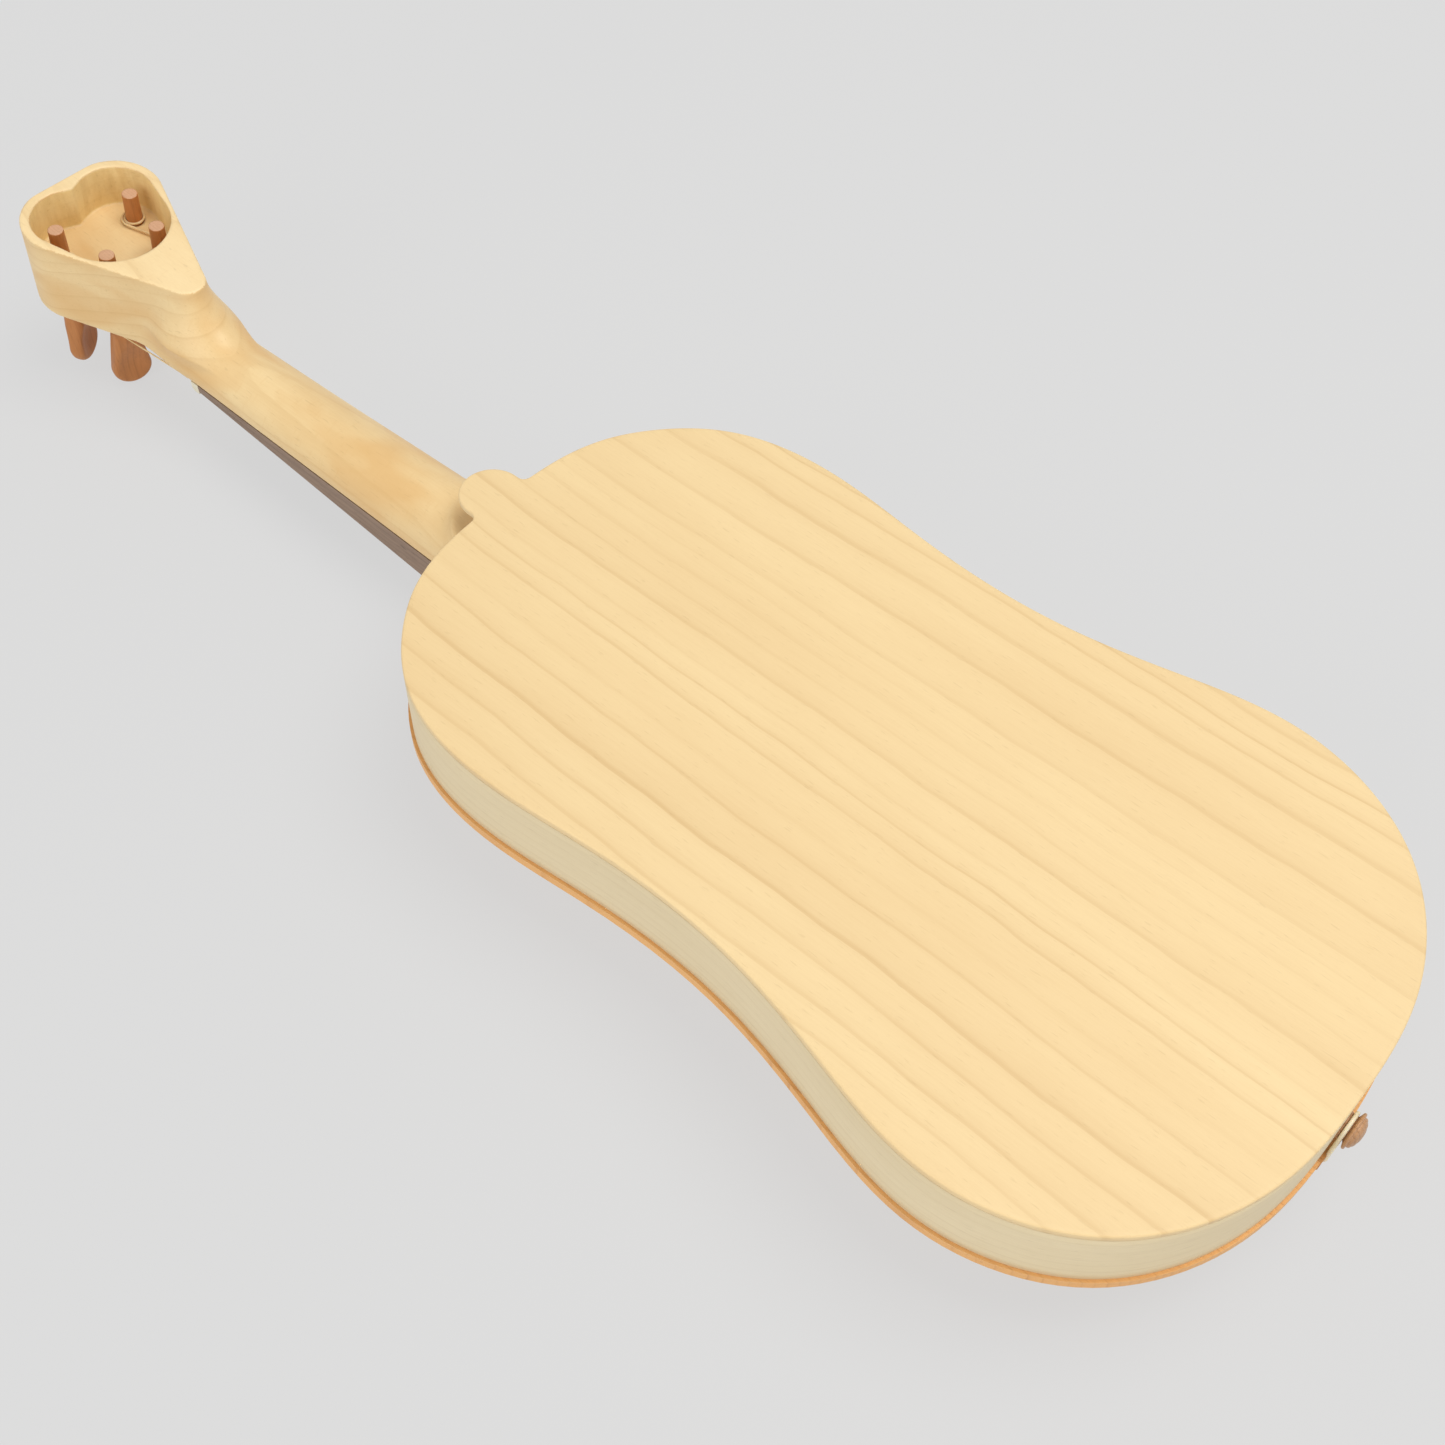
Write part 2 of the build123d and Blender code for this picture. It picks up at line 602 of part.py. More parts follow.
def gut_legs(radius):
    """Both straight runs: out of the tailpiece, over the saddle and down to the end button."""
    y = GUT_HALF_SPREAD
    corner_x = -SADDLE_PROUD - GUT_RADIUS + GUT_SUNK
    points = [
        tail_point(6.0, y, 0.5 * TAIL_THICK),
        (corner_x, y, tail_line_z(corner_x)),
        (corner_x, y, RIB_BOTTOM_Z + 1.5),
        (GUT_RING_X, y, BUTTON_Z),
    ]
    leg = tube(points, [3.0, 8.0], radius)
    return leg + mirror(leg, about=Plane.XZ)


def tail_gut():
    """One loop of gut with a turn round the neck of the end button."""
    ring = Pos(GUT_RING_X, 0, BUTTON_Z) * Rot(0, 90, 0) * Torus(GUT_HALF_SPREAD, GUT_RADIUS)
    return gut_legs(GUT_RADIUS) + ring


BACK = back_plate()
SADDLE_BLOCK = saddle()
SADDLE = SADDLE_BLOCK - gut_legs(GUT_RADIUS + 0.05)
TOP = top_plate() - SADDLE_BLOCK
TAILPIECE = tailpiece()
LINING_LEVELS = {"back": RIB_TOP_Z, "top": RIB_BOTTOM_Z + LINING_HEIGHT}

save("back_plate", BACK)
save("top_plate", TOP)
for side_name, side_sign in SIDES.items():
    save(f"rib_{side_name}", rib(side_sign))
    for level_name, level_z in LINING_LEVELS.items():
        save(f"lining_{level_name}_{side_name}", lining(side_sign, level_z))
for brace_number, brace_x in enumerate(BACK_BRACE_X, start=1):
    save(f"back_brace_{brace_number}", back_brace(brace_x))
save("end_block", (INSIDE & END_BLOCK_BOX) - SHANK_HOLE)
save("neck_block", (INSIDE & NECK_BLOCK_BOX) - DOWEL)
save("neck_dowel", DOWEL)
save("bass_bar", bass_bar())
save("sound_post", sound_post())
save("neck", neck(TOP))
save("fingerboard", fingerboard())
save("nut", nut())
save("saddle", SADDLE)
save("end_button", BUTTON)
save("tailpiece", TAILPIECE)
save("tail_gut", tail_gut())
save("bridge", bridge())
for index in range(STRING_COUNT):
    save(f"peg_{index + 1}", peg(index))
    save(f"string_winding_{index + 1}", winding(index))
    save(f"string_{index + 1}", string(index))
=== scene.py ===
import math

import bmesh
import bpy
import numpy as np
from mathutils import Euler, Matrix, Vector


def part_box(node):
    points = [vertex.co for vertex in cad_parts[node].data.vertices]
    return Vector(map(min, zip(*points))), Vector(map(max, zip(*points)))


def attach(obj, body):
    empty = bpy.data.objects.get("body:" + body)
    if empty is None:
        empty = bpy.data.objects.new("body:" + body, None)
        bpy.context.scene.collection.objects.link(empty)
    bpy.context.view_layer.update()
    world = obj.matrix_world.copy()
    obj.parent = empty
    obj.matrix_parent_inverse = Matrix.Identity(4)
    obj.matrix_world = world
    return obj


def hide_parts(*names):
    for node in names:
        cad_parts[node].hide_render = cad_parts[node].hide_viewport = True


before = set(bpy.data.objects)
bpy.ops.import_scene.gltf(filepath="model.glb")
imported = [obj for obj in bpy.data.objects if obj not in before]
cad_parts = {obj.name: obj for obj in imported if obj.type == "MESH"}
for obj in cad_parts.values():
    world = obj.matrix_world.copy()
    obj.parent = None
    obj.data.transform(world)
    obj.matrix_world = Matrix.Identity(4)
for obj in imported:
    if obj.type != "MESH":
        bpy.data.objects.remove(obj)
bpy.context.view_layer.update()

# All lengths are in mm in the bench frame: X 0 at the tail end of the back, Z 0 on its outer face.
BACK_LOW, BACK_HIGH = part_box("back_plate")
BENCH_X = BACK_LOW.x
BENCH_Z = BACK_HIGH.z
FLOOR_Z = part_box("bridge")[0].z

BODY_LENGTH = 380.2
HALF_OUTLINE = [
    (0, 0), (3.7, 41.2), (34, 92.1), (87.2, 112.1), (140.6, 102.8), (179.1, 95), (211.7, 92.9),
    (246.6, 94.8), (296, 98.6), (339.2, 88.3), (363, 67.2), (371.5, 54), (377.2, 38), (379.8, 19),
    (380.2, 0),
]
BACK_THICK = 3.0
BACK_EDGE_RADIUS = 0.9
BACK_CORNER_RADIUS = 3.0
CAP_INSET = 2.0
RIB_THICK = 1.6
RIB_EASE = 0.15
RIB_BOTTOM_Z = -34.6
TAB_RADIUS = 13.0
TAB_CENTRE_X = 385.0
HEEL_INSET = 0.4
HEEL_FLARE = 0.164
HEEL_FLARE_DEPTH = 22.0
HEEL_FOOT_Z = -26.0
HEEL_BLEND = 7.0

NECK_FRONT_Z = -39.6
NECK_SIDE = 2.5
NUT_X = 556.0
NUT_HALF_WIDTH = 16.3
BODY_JOINT_HALF_WIDTH = 19.8
NECK_ROUND_POWER = 1.8
NECK_POWER_AT_BODY = 2.4
NECK_BACK = [
    (366, -16.3), (402, -18.0), (447, -20.0), (487, -22.2), (530, -23.2), (556, -23.4), (600, -23.4),
]

TILT = math.atan(0.1127)
COS, SIN = math.cos(TILT), math.sin(TILT)
TIP_X, TIP_Z = 562.3, 0.32
# Outlines on the pegbox's face: U along it from its tip, V across it; a lobe is its U, V and radius
HEART_TIP_RADIUS = 8.2
HEART_LOBE = (70.6, 11.2, 21.7)
HEART_END = HEART_LOBE[0] + HEART_LOBE[2]
HEAD_END_ROUNDING = 13.0
CAVITY_ROUND = (57.3, 25.0)
CAVITY_LOBE = (70.4, 11.5, 17.3)
PEGBOX_DEPTH = 41.5
CAVITY_DEPTH = 21.0
PEG_PLACES = ((71.1, -19.7), (44.7, -13.5), (44.7, 13.5), (71.1, 19.7))
PEG_TURN = (20.0, 95.0, 74.0, 119.0)
STRING_HOLES = ((51.5, -20.5), (37.2, -5.2), (37.2, 5.2), (51.5, 20.5))
STRING_SIDES = (-1, -1, 1, 1)
STRING_RADII = (0.55, 0.45, 0.4, 0.35)
WINDING_RADIUS = 4.8
WINDING_HEIGHT = 2.6
WINDING_GAP = 0.2
STRING_GAP = 0.3
PEG_BELOW_FACE = (5.4, 2.6, 2.6, 2.6)
PEG_END_RADIUS = 3.4
PEG_END_DEPTH = 2.6
PEG_TAPER = 0.8 / 42.4
PEG_NECK_LENGTH = 3.0
PEG_HOLE_GAP = 0.06
STRING_HOLE_RADIUS = 1.3
REST_Z = -74.0
BUTTON_Z = -22.4


def to_row(points):
    """Bench mm to the row frame's metres."""
    points = np.asarray(points, float) * 0.001
    return points + np.array([BENCH_X, 0.0, BENCH_Z])


def mesh_object(name, points, faces, materials, body, node, grain=None, face_material=None):
    """A mesh piece from bench-frame points, which rides on a body and stands for a CAD node."""
    mesh = bpy.data.meshes.new(name)
    mesh.from_pydata(to_row(points).tolist(), [], [list(map(int, face)) for face in faces])
    if grain is not None:
        layer = mesh.attributes.new("grain", "FLOAT_VECTOR", "POINT")
        layer.data.foreach_set("vector", (np.asarray(grain, float) * 0.001).astype(np.float32).ravel())
    mesh.validate()
    mesh.polygons.foreach_set("use_smooth", [True] * len(mesh.polygons))
    for material in materials:
        mesh.materials.append(material)
    if face_material is not None:
        mesh.polygons.foreach_set("material_index", face_material)
    piece = bpy.data.objects.new(name, mesh)
    bpy.context.scene.collection.objects.link(piece)
    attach(piece, body)
    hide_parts(node)
    return piece


# ---------------------------------------------------------------- materials


class Nodes:
    """Adds and links the shader nodes of one material. Lengths in a material are in metres."""

    def __init__(self, name):
        self.material = bpy.data.materials.new(name)
        self.material.use_nodes = True
        self.tree = self.material.node_tree
        self.shader = self.tree.nodes["Principled BSDF"]
        self.coords = self.tree.nodes.new("ShaderNodeTexCoord").outputs["Object"]

    def add(self, kind, **inputs):
        node = self.tree.nodes.new(kind)
        for key, value in inputs.items():
            self.set(node, key, value)
        return node

    def set(self, node, key, value):
        socket = node.inputs[key if not key.startswith("_") else int(key[1:])]
        if isinstance(value, bpy.types.NodeSocket):
            self.tree.links.new(value, socket)
        else:
            socket.default_value = value

    def math(self, operation, a, b=0.0, c=0.0, clamp=False):
        node = self.tree.nodes.new("ShaderNodeMath")
        node.operation = operation
        node.use_clamp = clamp
        for index, value in enumerate((a, b, c)):
            self.set(node, f"_{index}", value)
        return node.outputs[0]

    def stretch(self, vector, scale, offset=(0, 0, 0)):
        node = self.tree.nodes.new("ShaderNodeMapping")
        self.set(node, "Vector", vector)
        node.inputs["Scale"].default_value = scale
        node.inputs["Location"].default_value = offset
        return node.outputs[0]

    def noise(self, vector, scale, detail=2.0, roughness=0.5, offset=(0, 0, 0), distortion=0.0):
        """Noise in 0 to 1 with its own scale along each axis, in cycles per metre."""
        node = self.tree.nodes.new("ShaderNodeTexNoise")
        self.set(node, "Vector", self.stretch(vector, scale, offset))
        node.inputs["Scale"].default_value = 1.0
        node.inputs["Detail"].default_value = detail
        node.inputs["Roughness"].default_value = roughness
        node.inputs["Distortion"].default_value = distortion
        return node.outputs["Fac"]

    def ramp(self, factor, stops):
        """Grey levels between the stops, which are pairs of place and level."""
        node = self.tree.nodes.new("ShaderNodeValToRGB")
        ramp = node.color_ramp
        while len(ramp.elements) < len(stops):
            ramp.elements.new(0.5)
        for element, (place, level) in zip(ramp.elements, stops):
            element.position = place
            element.color = (level, level, level, 1)
        self.set(node, "Fac", factor)
        return node.outputs["Color"]

    def step(self, value, low, high):
        """0 up to low, 1 from high, and a straight slope in between."""
        return self.ramp(value, [(low, 0.0), (high, 1.0)])

    def swing(self, base, noise, amount):
        """base, pushed to and fro by noise in 0 to 1."""
        return self.math("MULTIPLY_ADD", self.math("SUBTRACT", noise, 0.5), amount, base)

    def mix(self, factor, a, b):
        node = self.tree.nodes.new("ShaderNodeMix")
        node.data_type = "RGBA"
        for index, value in ((0, factor), (6, a), (7, b)):
            if isinstance(value, tuple):
                value = (*value, 1)
            self.set(node, f"_{index}", value)
        return node.outputs[2]

    def tint(self, colour, mask, amount, shade):
        """colour, turned toward shade by amount where the mask is 1."""
        return self.mix(self.math("MULTIPLY", mask, amount), colour, shade)

    def bump(self, height, distance, strength):
        node = self.tree.nodes.new("ShaderNodeBump")
        node.inputs["Distance"].default_value = distance
        node.inputs["Strength"].default_value = strength
        self.set(node, "Height", height)
        return node.outputs[0]

    def edges(self):
        """1 along sharp edges and 0 on open surfaces, from how far a rounded normal turns away."""
        rounded = self.add("ShaderNodeBevel", Radius=0.0009)
        rounded.samples = 4
        geometry = self.tree.nodes.new("ShaderNodeNewGeometry")
        dot = self.tree.nodes.new("ShaderNodeVectorMath")
        dot.operation = "DOT_PRODUCT"
        self.set(dot, "_0", rounded.outputs[0])
        self.set(dot, "_1", geometry.outputs["Normal"])
        return self.step(self.math("SUBTRACT", 1.0, dot.outputs["Value"]), 0.02, 0.2)

    def finish(self, colour, roughness, normal, specular, coat=0.0):
        self.set(self.shader, "Base Color", colour)
        self.set(self.shader, "Roughness", roughness)
        self.set(self.shader, "Normal", normal)
        self.shader.inputs["Specular IOR Level"].default_value = specular
        self.shader.inputs["Coat Weight"].default_value = coat
        self.shader.inputs["Coat Roughness"].default_value = 0.3
        return self.material


def srgb(*levels):
    """0-255 display levels as linear colour."""
    return tuple(((v / 255 + 0.055) / 1.055) ** 2.4 if v > 10 else v / 255 / 12.92 for v in levels)


# The line where the ribs meet the top, partly glue and partly painted shade under the top's overhang: how
# deep it starts, in metres, and how fast it darkens
GLUE_AND_SHADE_DEPTH = 0.03415
GLUE_AND_SHADE_SLOPE = 2200.0


def noise_shift(seed):
    """An offset that gives each wood its own piece of the noise."""
    return (seed, seed * 1.7, seed * 0.6)


def board_coordinates(n, use_grain):
    """Where the wood is: in the object, or along the strip before it was bent."""
    if not use_grain:
        return n.coords
    attribute = n.tree.nodes.new("ShaderNodeAttribute")
    attribute.attribute_name = "grain"
    return attribute.outputs["Vector"]


def place_across(n, coords, across, wander, along, seed, curve, tilt, wiggle):
    """The position across the growth lines, moved about by slow noise along the board."""
    split = n.add("ShaderNodeSeparateXYZ", _0=coords)
    _, y, z = split.outputs
    main, side = (y, z) if across == "Y" else (z, y)
    slow = n.noise(coords, along, 2.0, 0.45, noise_shift(seed))
    slower = n.noise(coords, tuple(v * 0.35 for v in along), 1.0, 0.4, (seed + 4, seed, 2.0))
    place = n.swing(main, slow, wander * 2)
    place = n.swing(place, slower, wander * 6)
    if wiggle:
        place = n.swing(place, n.noise(coords, (26, 34, 34), 2.0, 0.5, (seed + 7, 2, seed)), wiggle)
    if curve:
        place = n.math("ADD", place, n.math("MULTIPLY", n.math("MULTIPLY", side, side), curve))
    if tilt:
        place = n.math("ADD", place, n.math("MULTIPLY", side, tilt))
    return place


def growth_lines(n, coords, place, spacing, strength, seed):
    """1 on the late wood of each year, which is strong in some years and faint in others."""
    across = n.add("ShaderNodeCombineXYZ", _1=place).outputs[0]
    uneven = n.noise(across, (1, 38, 1), 1.0, 0.5, noise_shift(seed))
    turns = n.math("ADD", n.math("DIVIDE", place, spacing), n.math("MULTIPLY", uneven, 3.2))
    year = n.tree.nodes.new("ShaderNodeTexWhiteNoise")
    year.noise_dimensions = "1D"
    n.set(year, "W", n.math("FLOOR", turns))
    power = n.math("MULTIPLY_ADD", year.outputs["Value"], 0.75, 0.25)
    late = n.ramp(n.math("FRACT", turns), [(0.0, 0.15), (0.18, 0.0), (0.55, 0.08), (0.82, 0.35),
                                           (0.93, 1.0), (0.985, 0.85), (1.0, 0.15)])
    patchy = n.math("MULTIPLY_ADD", n.noise(coords, (9, 30, 30), 2.0, 0.5, (seed, 3, 1)), 1.3, 0.25)
    late_wood = n.math("MULTIPLY", late, power)
    return n.math("MULTIPLY", late_wood, n.math("MULTIPLY", patchy, strength), clamp=True)


def wood(name, light, dark, line, spacing, wander, across="Y", along=(3.0, 9.0, 9.0), line_strength=0.6,
         blotch=0.5, blotch_scale=(14, 40, 40), fibre=0.16, fibre_scale=(60, 2600, 2600), rough=(0.42, 0.6),
         bump=0.00006, seed=0.0, use_grain=False, specular=0.35, coat=0.0, curve=0.0, tilt=0.0, wiggle=0.0,
         fleck=0.0, marks=0.0, stain=None, seam_and_shade=None, edge_wear_and_painted_light=None):
    """Planed wood whose growth lines run along X and are spread out across Y or Z."""
    n = Nodes(name)
    coords = board_coordinates(n, use_grain)
    place = place_across(n, coords, across, wander, along, seed, curve, tilt, wiggle)
    line_mask = growth_lines(n, coords, place, spacing, line_strength, seed)
    cloud = n.step(n.noise(coords, blotch_scale, 3.0, 0.55, (seed + 9, 1, seed)), 0.3, 0.7)
    colour = n.tint(light, cloud, blotch, dark)
    colour = n.mix(line_mask, colour, line)

    fine = n.noise(coords, fibre_scale, 2.0, 0.6, noise_shift(seed))
    colour = n.tint(colour, n.step(fine, 0.42, 0.68), fibre, line)
    pore_scale = tuple(v * f for v, f in zip(fibre_scale, (2.4, 0.9, 0.9)))
    pores = n.step(n.noise(coords, pore_scale, 1.0, 0.5, (5, seed, 8)), 0.66, 0.74)
    colour = n.tint(colour, pores, fibre * 1.6, tuple(c * 0.6 for c in line))

    if fleck:
        rays = n.noise(coords, (700, 160, 160), 1.0, 0.5, (seed, 8, 5))
        colour = n.tint(colour, n.step(rays, 0.6, 0.72), fleck, dark)
    if stain:
        patches = n.noise(coords, (24, 56, 56), 1.0, 0.4, (seed + 2.6, 4, 7), 0.8)
        colour = n.tint(colour, n.step(patches, 0.45, 0.68), 0.45, stain)
    if marks:
        tool = n.noise(coords, (210, 210, 55), 3.0, 0.6, (seed, 1, 9))
        colour = n.tint(colour, n.step(tool, 0.42, 0.66), marks, line)
    # Painted shade along the ribs' edge under the top's overhang, together with a glue line
    if seam_and_shade:
        z = n.add("ShaderNodeSeparateXYZ", _0=coords).outputs[2]
        glue_and_shade = n.math("MULTIPLY_ADD", z, -GLUE_AND_SHADE_SLOPE, -GLUE_AND_SHADE_SLOPE * GLUE_AND_SHADE_DEPTH, clamp=True)
        colour = n.tint(colour, glue_and_shade, 0.85, seam_and_shade)
    # Rounded edges, partly worn and partly painted light: a lighter edge colour is a painted highlight, a
    # darker one a painted shade line
    if edge_wear_and_painted_light:
        patchy_edge = n.ramp(n.noise(coords, (60, 60, 60), 3.0, 0.6, (seed, 6, 3)), [(0.3, 0.15), (0.62, 1.0)])
        colour = n.tint(colour, n.math("MULTIPLY", n.edges(), patchy_edge), 0.75, edge_wear_and_painted_light)

    spread = n.noise(coords, (25, 90, 90), 3.0, 0.6, (2, seed, 6))
    rough_level = n.math("MULTIPLY_ADD", spread, rough[1] - rough[0], rough[0])
    rough_level = n.math("MULTIPLY_ADD", line_mask, -0.06, rough_level)
    height = n.math("ADD", n.math("MULTIPLY", fine, 0.6), n.math("MULTIPLY", pores, -0.5))
    height = n.math("MULTIPLY_ADD", line_mask, 0.5, height)
    return n.finish(colour, rough_level, n.bump(height, bump, 0.7), specular, coat)


# In the woods below, the colour given for the edges is partly wear and partly painted light: a lighter one is
# a painted highlight along rounded edges, a darker one a painted shade line
back_wood = wood(
    "back_maple", srgb(239, 212, 161), srgb(230, 199, 147), srgb(208, 172, 118), spacing=0.0115, wander=0.005,
    along=(5.5, 8, 8), line_strength=0.56, blotch=0.6, blotch_scale=(6, 26, 26), fibre=0.08,
    fibre_scale=(70, 1500, 1500), bump=0.00004, rough=(0.42, 0.56), seed=1.3, fleck=0.08, wiggle=0.0034,
    edge_wear_and_painted_light=srgb(224, 184, 128),
)
rib_wood = wood(
    "rib_maple", srgb(232, 214, 176), srgb(218, 198, 156), srgb(196, 170, 126), spacing=0.0048, wander=0.0012,
    along=(6, 20, 20), line_strength=0.38, blotch_scale=(9, 30, 30), fibre=0.12, fibre_scale=(60, 1800, 1800),
    bump=0.00004, seed=3.1, use_grain=True, fleck=0.1, seam_and_shade=srgb(122, 92, 50), edge_wear_and_painted_light=srgb(214, 188, 142),
)
top_wood = wood(
    "top_spruce", srgb(238, 182, 114), srgb(226, 164, 96), srgb(190, 128, 72), spacing=0.0024, wander=0.0008,
    along=(4, 9, 9), fibre_scale=(90, 2400, 2400), seed=5.2, edge_wear_and_painted_light=srgb(238, 192, 132),
)
# The neck, its cavity and the pegbox's face are one piece of wood, so they share the run of their grain
NECK_GRAIN = {"wander": 0.003, "across": "Z", "along": (9, 14, 14), "seed": 7.7}
NECK_PLANED = {
    "spacing": 0.0062, "blotch_scale": (17, 40, 40), "fibre": 0.10, "fibre_scale": (70, 1500, 1500),
    "bump": 0.00004, "rough": (0.36, 0.5), "fleck": 0.12, "curve": 9.0, "tilt": 0.12, "wiggle": 0.002,
    "edge_wear_and_painted_light": srgb(250, 222, 170),
}
neck_wood = wood(
    "neck_maple", srgb(240, 212, 160), srgb(220, 178, 116), srgb(208, 168, 110), line_strength=0.42,
    blotch=0.55, stain=srgb(220, 172, 106), **NECK_GRAIN, **NECK_PLANED,
)
# Painted light: the pegbox's flat face is the neck's wood in a lighter, plainer copy, lighter because the
# face turns up toward the lamps
pegbox_face_lit_wood = wood(
    "pegbox_face_lit_maple", srgb(247, 221, 171), srgb(230, 194, 136), srgb(212, 174, 118), line_strength=0.34,
    blotch=0.4, **NECK_GRAIN, **NECK_PLANED,
)
cavity_wood = wood(
    "cavity_maple", srgb(250, 226, 168), srgb(236, 204, 134), srgb(206, 166, 96), spacing=0.007,
    line_strength=0.16, blotch=0.7, blotch_scale=(60, 60, 40), fibre=0.08, fibre_scale=(70, 900, 900),
    bump=0.00012, rough=(0.5, 0.66), marks=0.3, **NECK_GRAIN,
)
board_wood = wood(
    "board_walnut", srgb(152, 127, 107), srgb(126, 102, 85), srgb(88, 67, 54), spacing=0.0035, wander=0.0012,
    across="Z", line_strength=0.5, fibre=0.3, fibre_scale=(80, 1900, 1900), bump=0.00008, rough=(0.45, 0.62),
    seed=2.2, edge_wear_and_painted_light=srgb(166, 142, 122),
)
peg_wood = wood(
    "peg_plum", srgb(196, 131, 76), srgb(166, 102, 54), srgb(128, 74, 37), spacing=0.0026, wander=0.0014,
    line_strength=0.3, blotch=0.55, blotch_scale=(70, 70, 30), fibre_scale=(1200, 1200, 90), bump=0.00005,
    rough=(0.4, 0.55), seed=4.4, specular=0.3, coat=0.03, edge_wear_and_painted_light=srgb(214, 156, 106),
)
peg_end_wood = wood(
    "peg_end_grain", srgb(216, 170, 134), srgb(200, 150, 112), srgb(166, 114, 78), spacing=0.0014,
    wander=0.0006, line_strength=0.4, blotch=0.4, blotch_scale=(120, 120, 120), fibre=0.2,
    fibre_scale=(1800, 1800, 1800), rough=(0.5, 0.7), seed=8.4,
)
button_wood = wood(
    "button_plum", srgb(196, 150, 108), srgb(168, 120, 80), srgb(124, 82, 48), spacing=0.0016, wander=0.0006,
    line_strength=0.5, blotch_scale=(80, 80, 80), fibre=0.22, fibre_scale=(240, 1600, 1600), bump=0.00005,
    rough=(0.3, 0.46), seed=6.4, coat=0.15, edge_wear_and_painted_light=srgb(206, 168, 126),
)
saddle_wood = wood(
    "saddle_plum", srgb(208, 150, 88), srgb(186, 126, 66), srgb(134, 84, 42), spacing=0.002, wander=0.0008,
    fibre=0.25, fibre_scale=(120, 1800, 1800), rough=(0.36, 0.5), seed=9.1, edge_wear_and_painted_light=srgb(214, 158, 96),
)
tail_wood = wood(
    "tailpiece_plum", srgb(172, 116, 70), srgb(142, 92, 54), srgb(92, 56, 32), spacing=0.003, wander=0.0012,
    fibre=0.3, fibre_scale=(90, 1800, 1800), bump=0.00007, rough=(0.4, 0.55), seed=9.9,
    edge_wear_and_painted_light=srgb(190, 138, 92),
)
bridge_wood = wood(
    "bridge_maple", srgb(238, 208, 160), srgb(222, 184, 130), srgb(186, 138, 88), spacing=0.0026,
    wander=0.0006, across="Z", line_strength=0.4, blotch_scale=(60, 60, 60), fibre=0.2,
    fibre_scale=(900, 220, 2000), rough=(0.4, 0.55), seed=11.1, fleck=0.2, edge_wear_and_painted_light=srgb(242, 216, 172),
)
inner_wood = wood(
    "inner_spruce", srgb(226, 196, 146), srgb(212, 178, 124), srgb(180, 138, 86), spacing=0.0018,
    wander=0.0005, line_strength=0.5, blotch=0.4, fibre=0.2, fibre_scale=(90, 2200, 2200), bump=0.00008,
    rough=(0.6, 0.8), seed=12.1,
)


def gut_material(name, light, dark, pitch, seed):
    """Twisted gut: a fine slanted ridge, slightly translucent and waxy."""
    n = Nodes(name)
    twist = n.tree.nodes.new("ShaderNodeTexWave")
    twist.bands_direction = "DIAGONAL"
    n.set(twist, "Vector", n.stretch(n.coords, (pitch, pitch, pitch)))
    twist.inputs["Scale"].default_value = 1.0
    twist.inputs["Distortion"].default_value = 0.6
    stain = n.noise(n.coords, (70, 160, 160), 3.0, 0.6, (seed, 2, 4))
    colour = n.mix(n.step(stain, 0.35, 0.7), light, dark)
    colour = n.tint(colour, twist.outputs["Fac"], 0.06, dark)
    rough = n.math("MULTIPLY_ADD", stain, 0.2, 0.32)
    normal = n.bump(twist.outputs["Fac"], 0.00002, 0.12)
    material = n.finish(colour, rough, normal, 0.45)
    n.shader.inputs["Subsurface Weight"].default_value = 0.15
    n.shader.inputs["Subsurface Radius"].default_value = (0.001, 0.0007, 0.0004)
    return material


gut = gut_material("gut_string", srgb(236, 210, 162), srgb(212, 178, 124), 900.0, 1.0)
tail_gut_material = gut_material("tail_gut_cord", srgb(242, 232, 204), srgb(228, 212, 172), 420.0, 3.0)


def bone_material():
    """Polished bone with a few open pores."""
    n = Nodes("nut_bone")
    cloud = n.noise(n.coords, (60, 90, 120), 4.0, 0.6)
    colour = n.mix(n.step(cloud, 0.3, 0.75), srgb(236, 229, 206), srgb(214, 203, 172))
    pores = n.noise(n.coords, (900, 260, 900), 2.0, 0.6, (3, 1, 2))
    pits = n.step(pores, 0.66, 0.76)
    colour = n.tint(colour, pits, 0.35, srgb(176, 158, 120))
    rough = n.math("MULTIPLY_ADD", cloud, 0.2, 0.28)
    return n.finish(colour, rough, n.bump(n.math("MULTIPLY", pits, -1.0), 0.00004, 0.5), 0.5)


bone = bone_material()

# ---------------------------------------------------------------- outlines


def dense_outline():
    """The left half of the body's outline, evenly sampled along its length."""
    points = np.array(HALF_OUTLINE, float)
    chord = np.hypot(*np.diff(points, axis=0).T)
    count = len(points)
    system = np.zeros((count, count))
    right = np.zeros((count, 2))
    system[0, 0] = system[-1, -1] = 1.0
    right[0] = (0, 1)
    right[-1] = (0, -1)
    for i in range(1, count - 1):
        system[i, i - 1: i + 2] = (chord[i], 2 * (chord[i - 1] + chord[i]), chord[i - 1])
        before = (points[i] - points[i - 1]) / chord[i - 1]
        after = (points[i + 1] - points[i]) / chord[i]
        right[i] = 3 * (chord[i] * before + chord[i - 1] * after)
    slope = np.linalg.solve(system, right)
    parts = []
    for i in range(count - 1):
        t = np.linspace(0, 1, 120, endpoint=False)[:, None]
        h = chord[i]
        parts.append((2 * t**3 - 3 * t**2 + 1) * points[i] + (t**3 - 2 * t**2 + t) * h * slope[i]
                     + (3 * t**2 - 2 * t**3) * points[i + 1] + (t**3 - t**2) * h * slope[i + 1])
    return np.vstack(parts + [points[-1:]])


def resample(path, count):
    """The path with evenly spaced points, and their distances along it."""
    step = np.hypot(*np.diff(path, axis=0).T)
    length = np.concatenate([[0], np.cumsum(step)])
    even = np.linspace(0, length[-1], count)
    return np.stack([np.interp(even, length, path[:, i]) for i in range(2)], axis=1), even


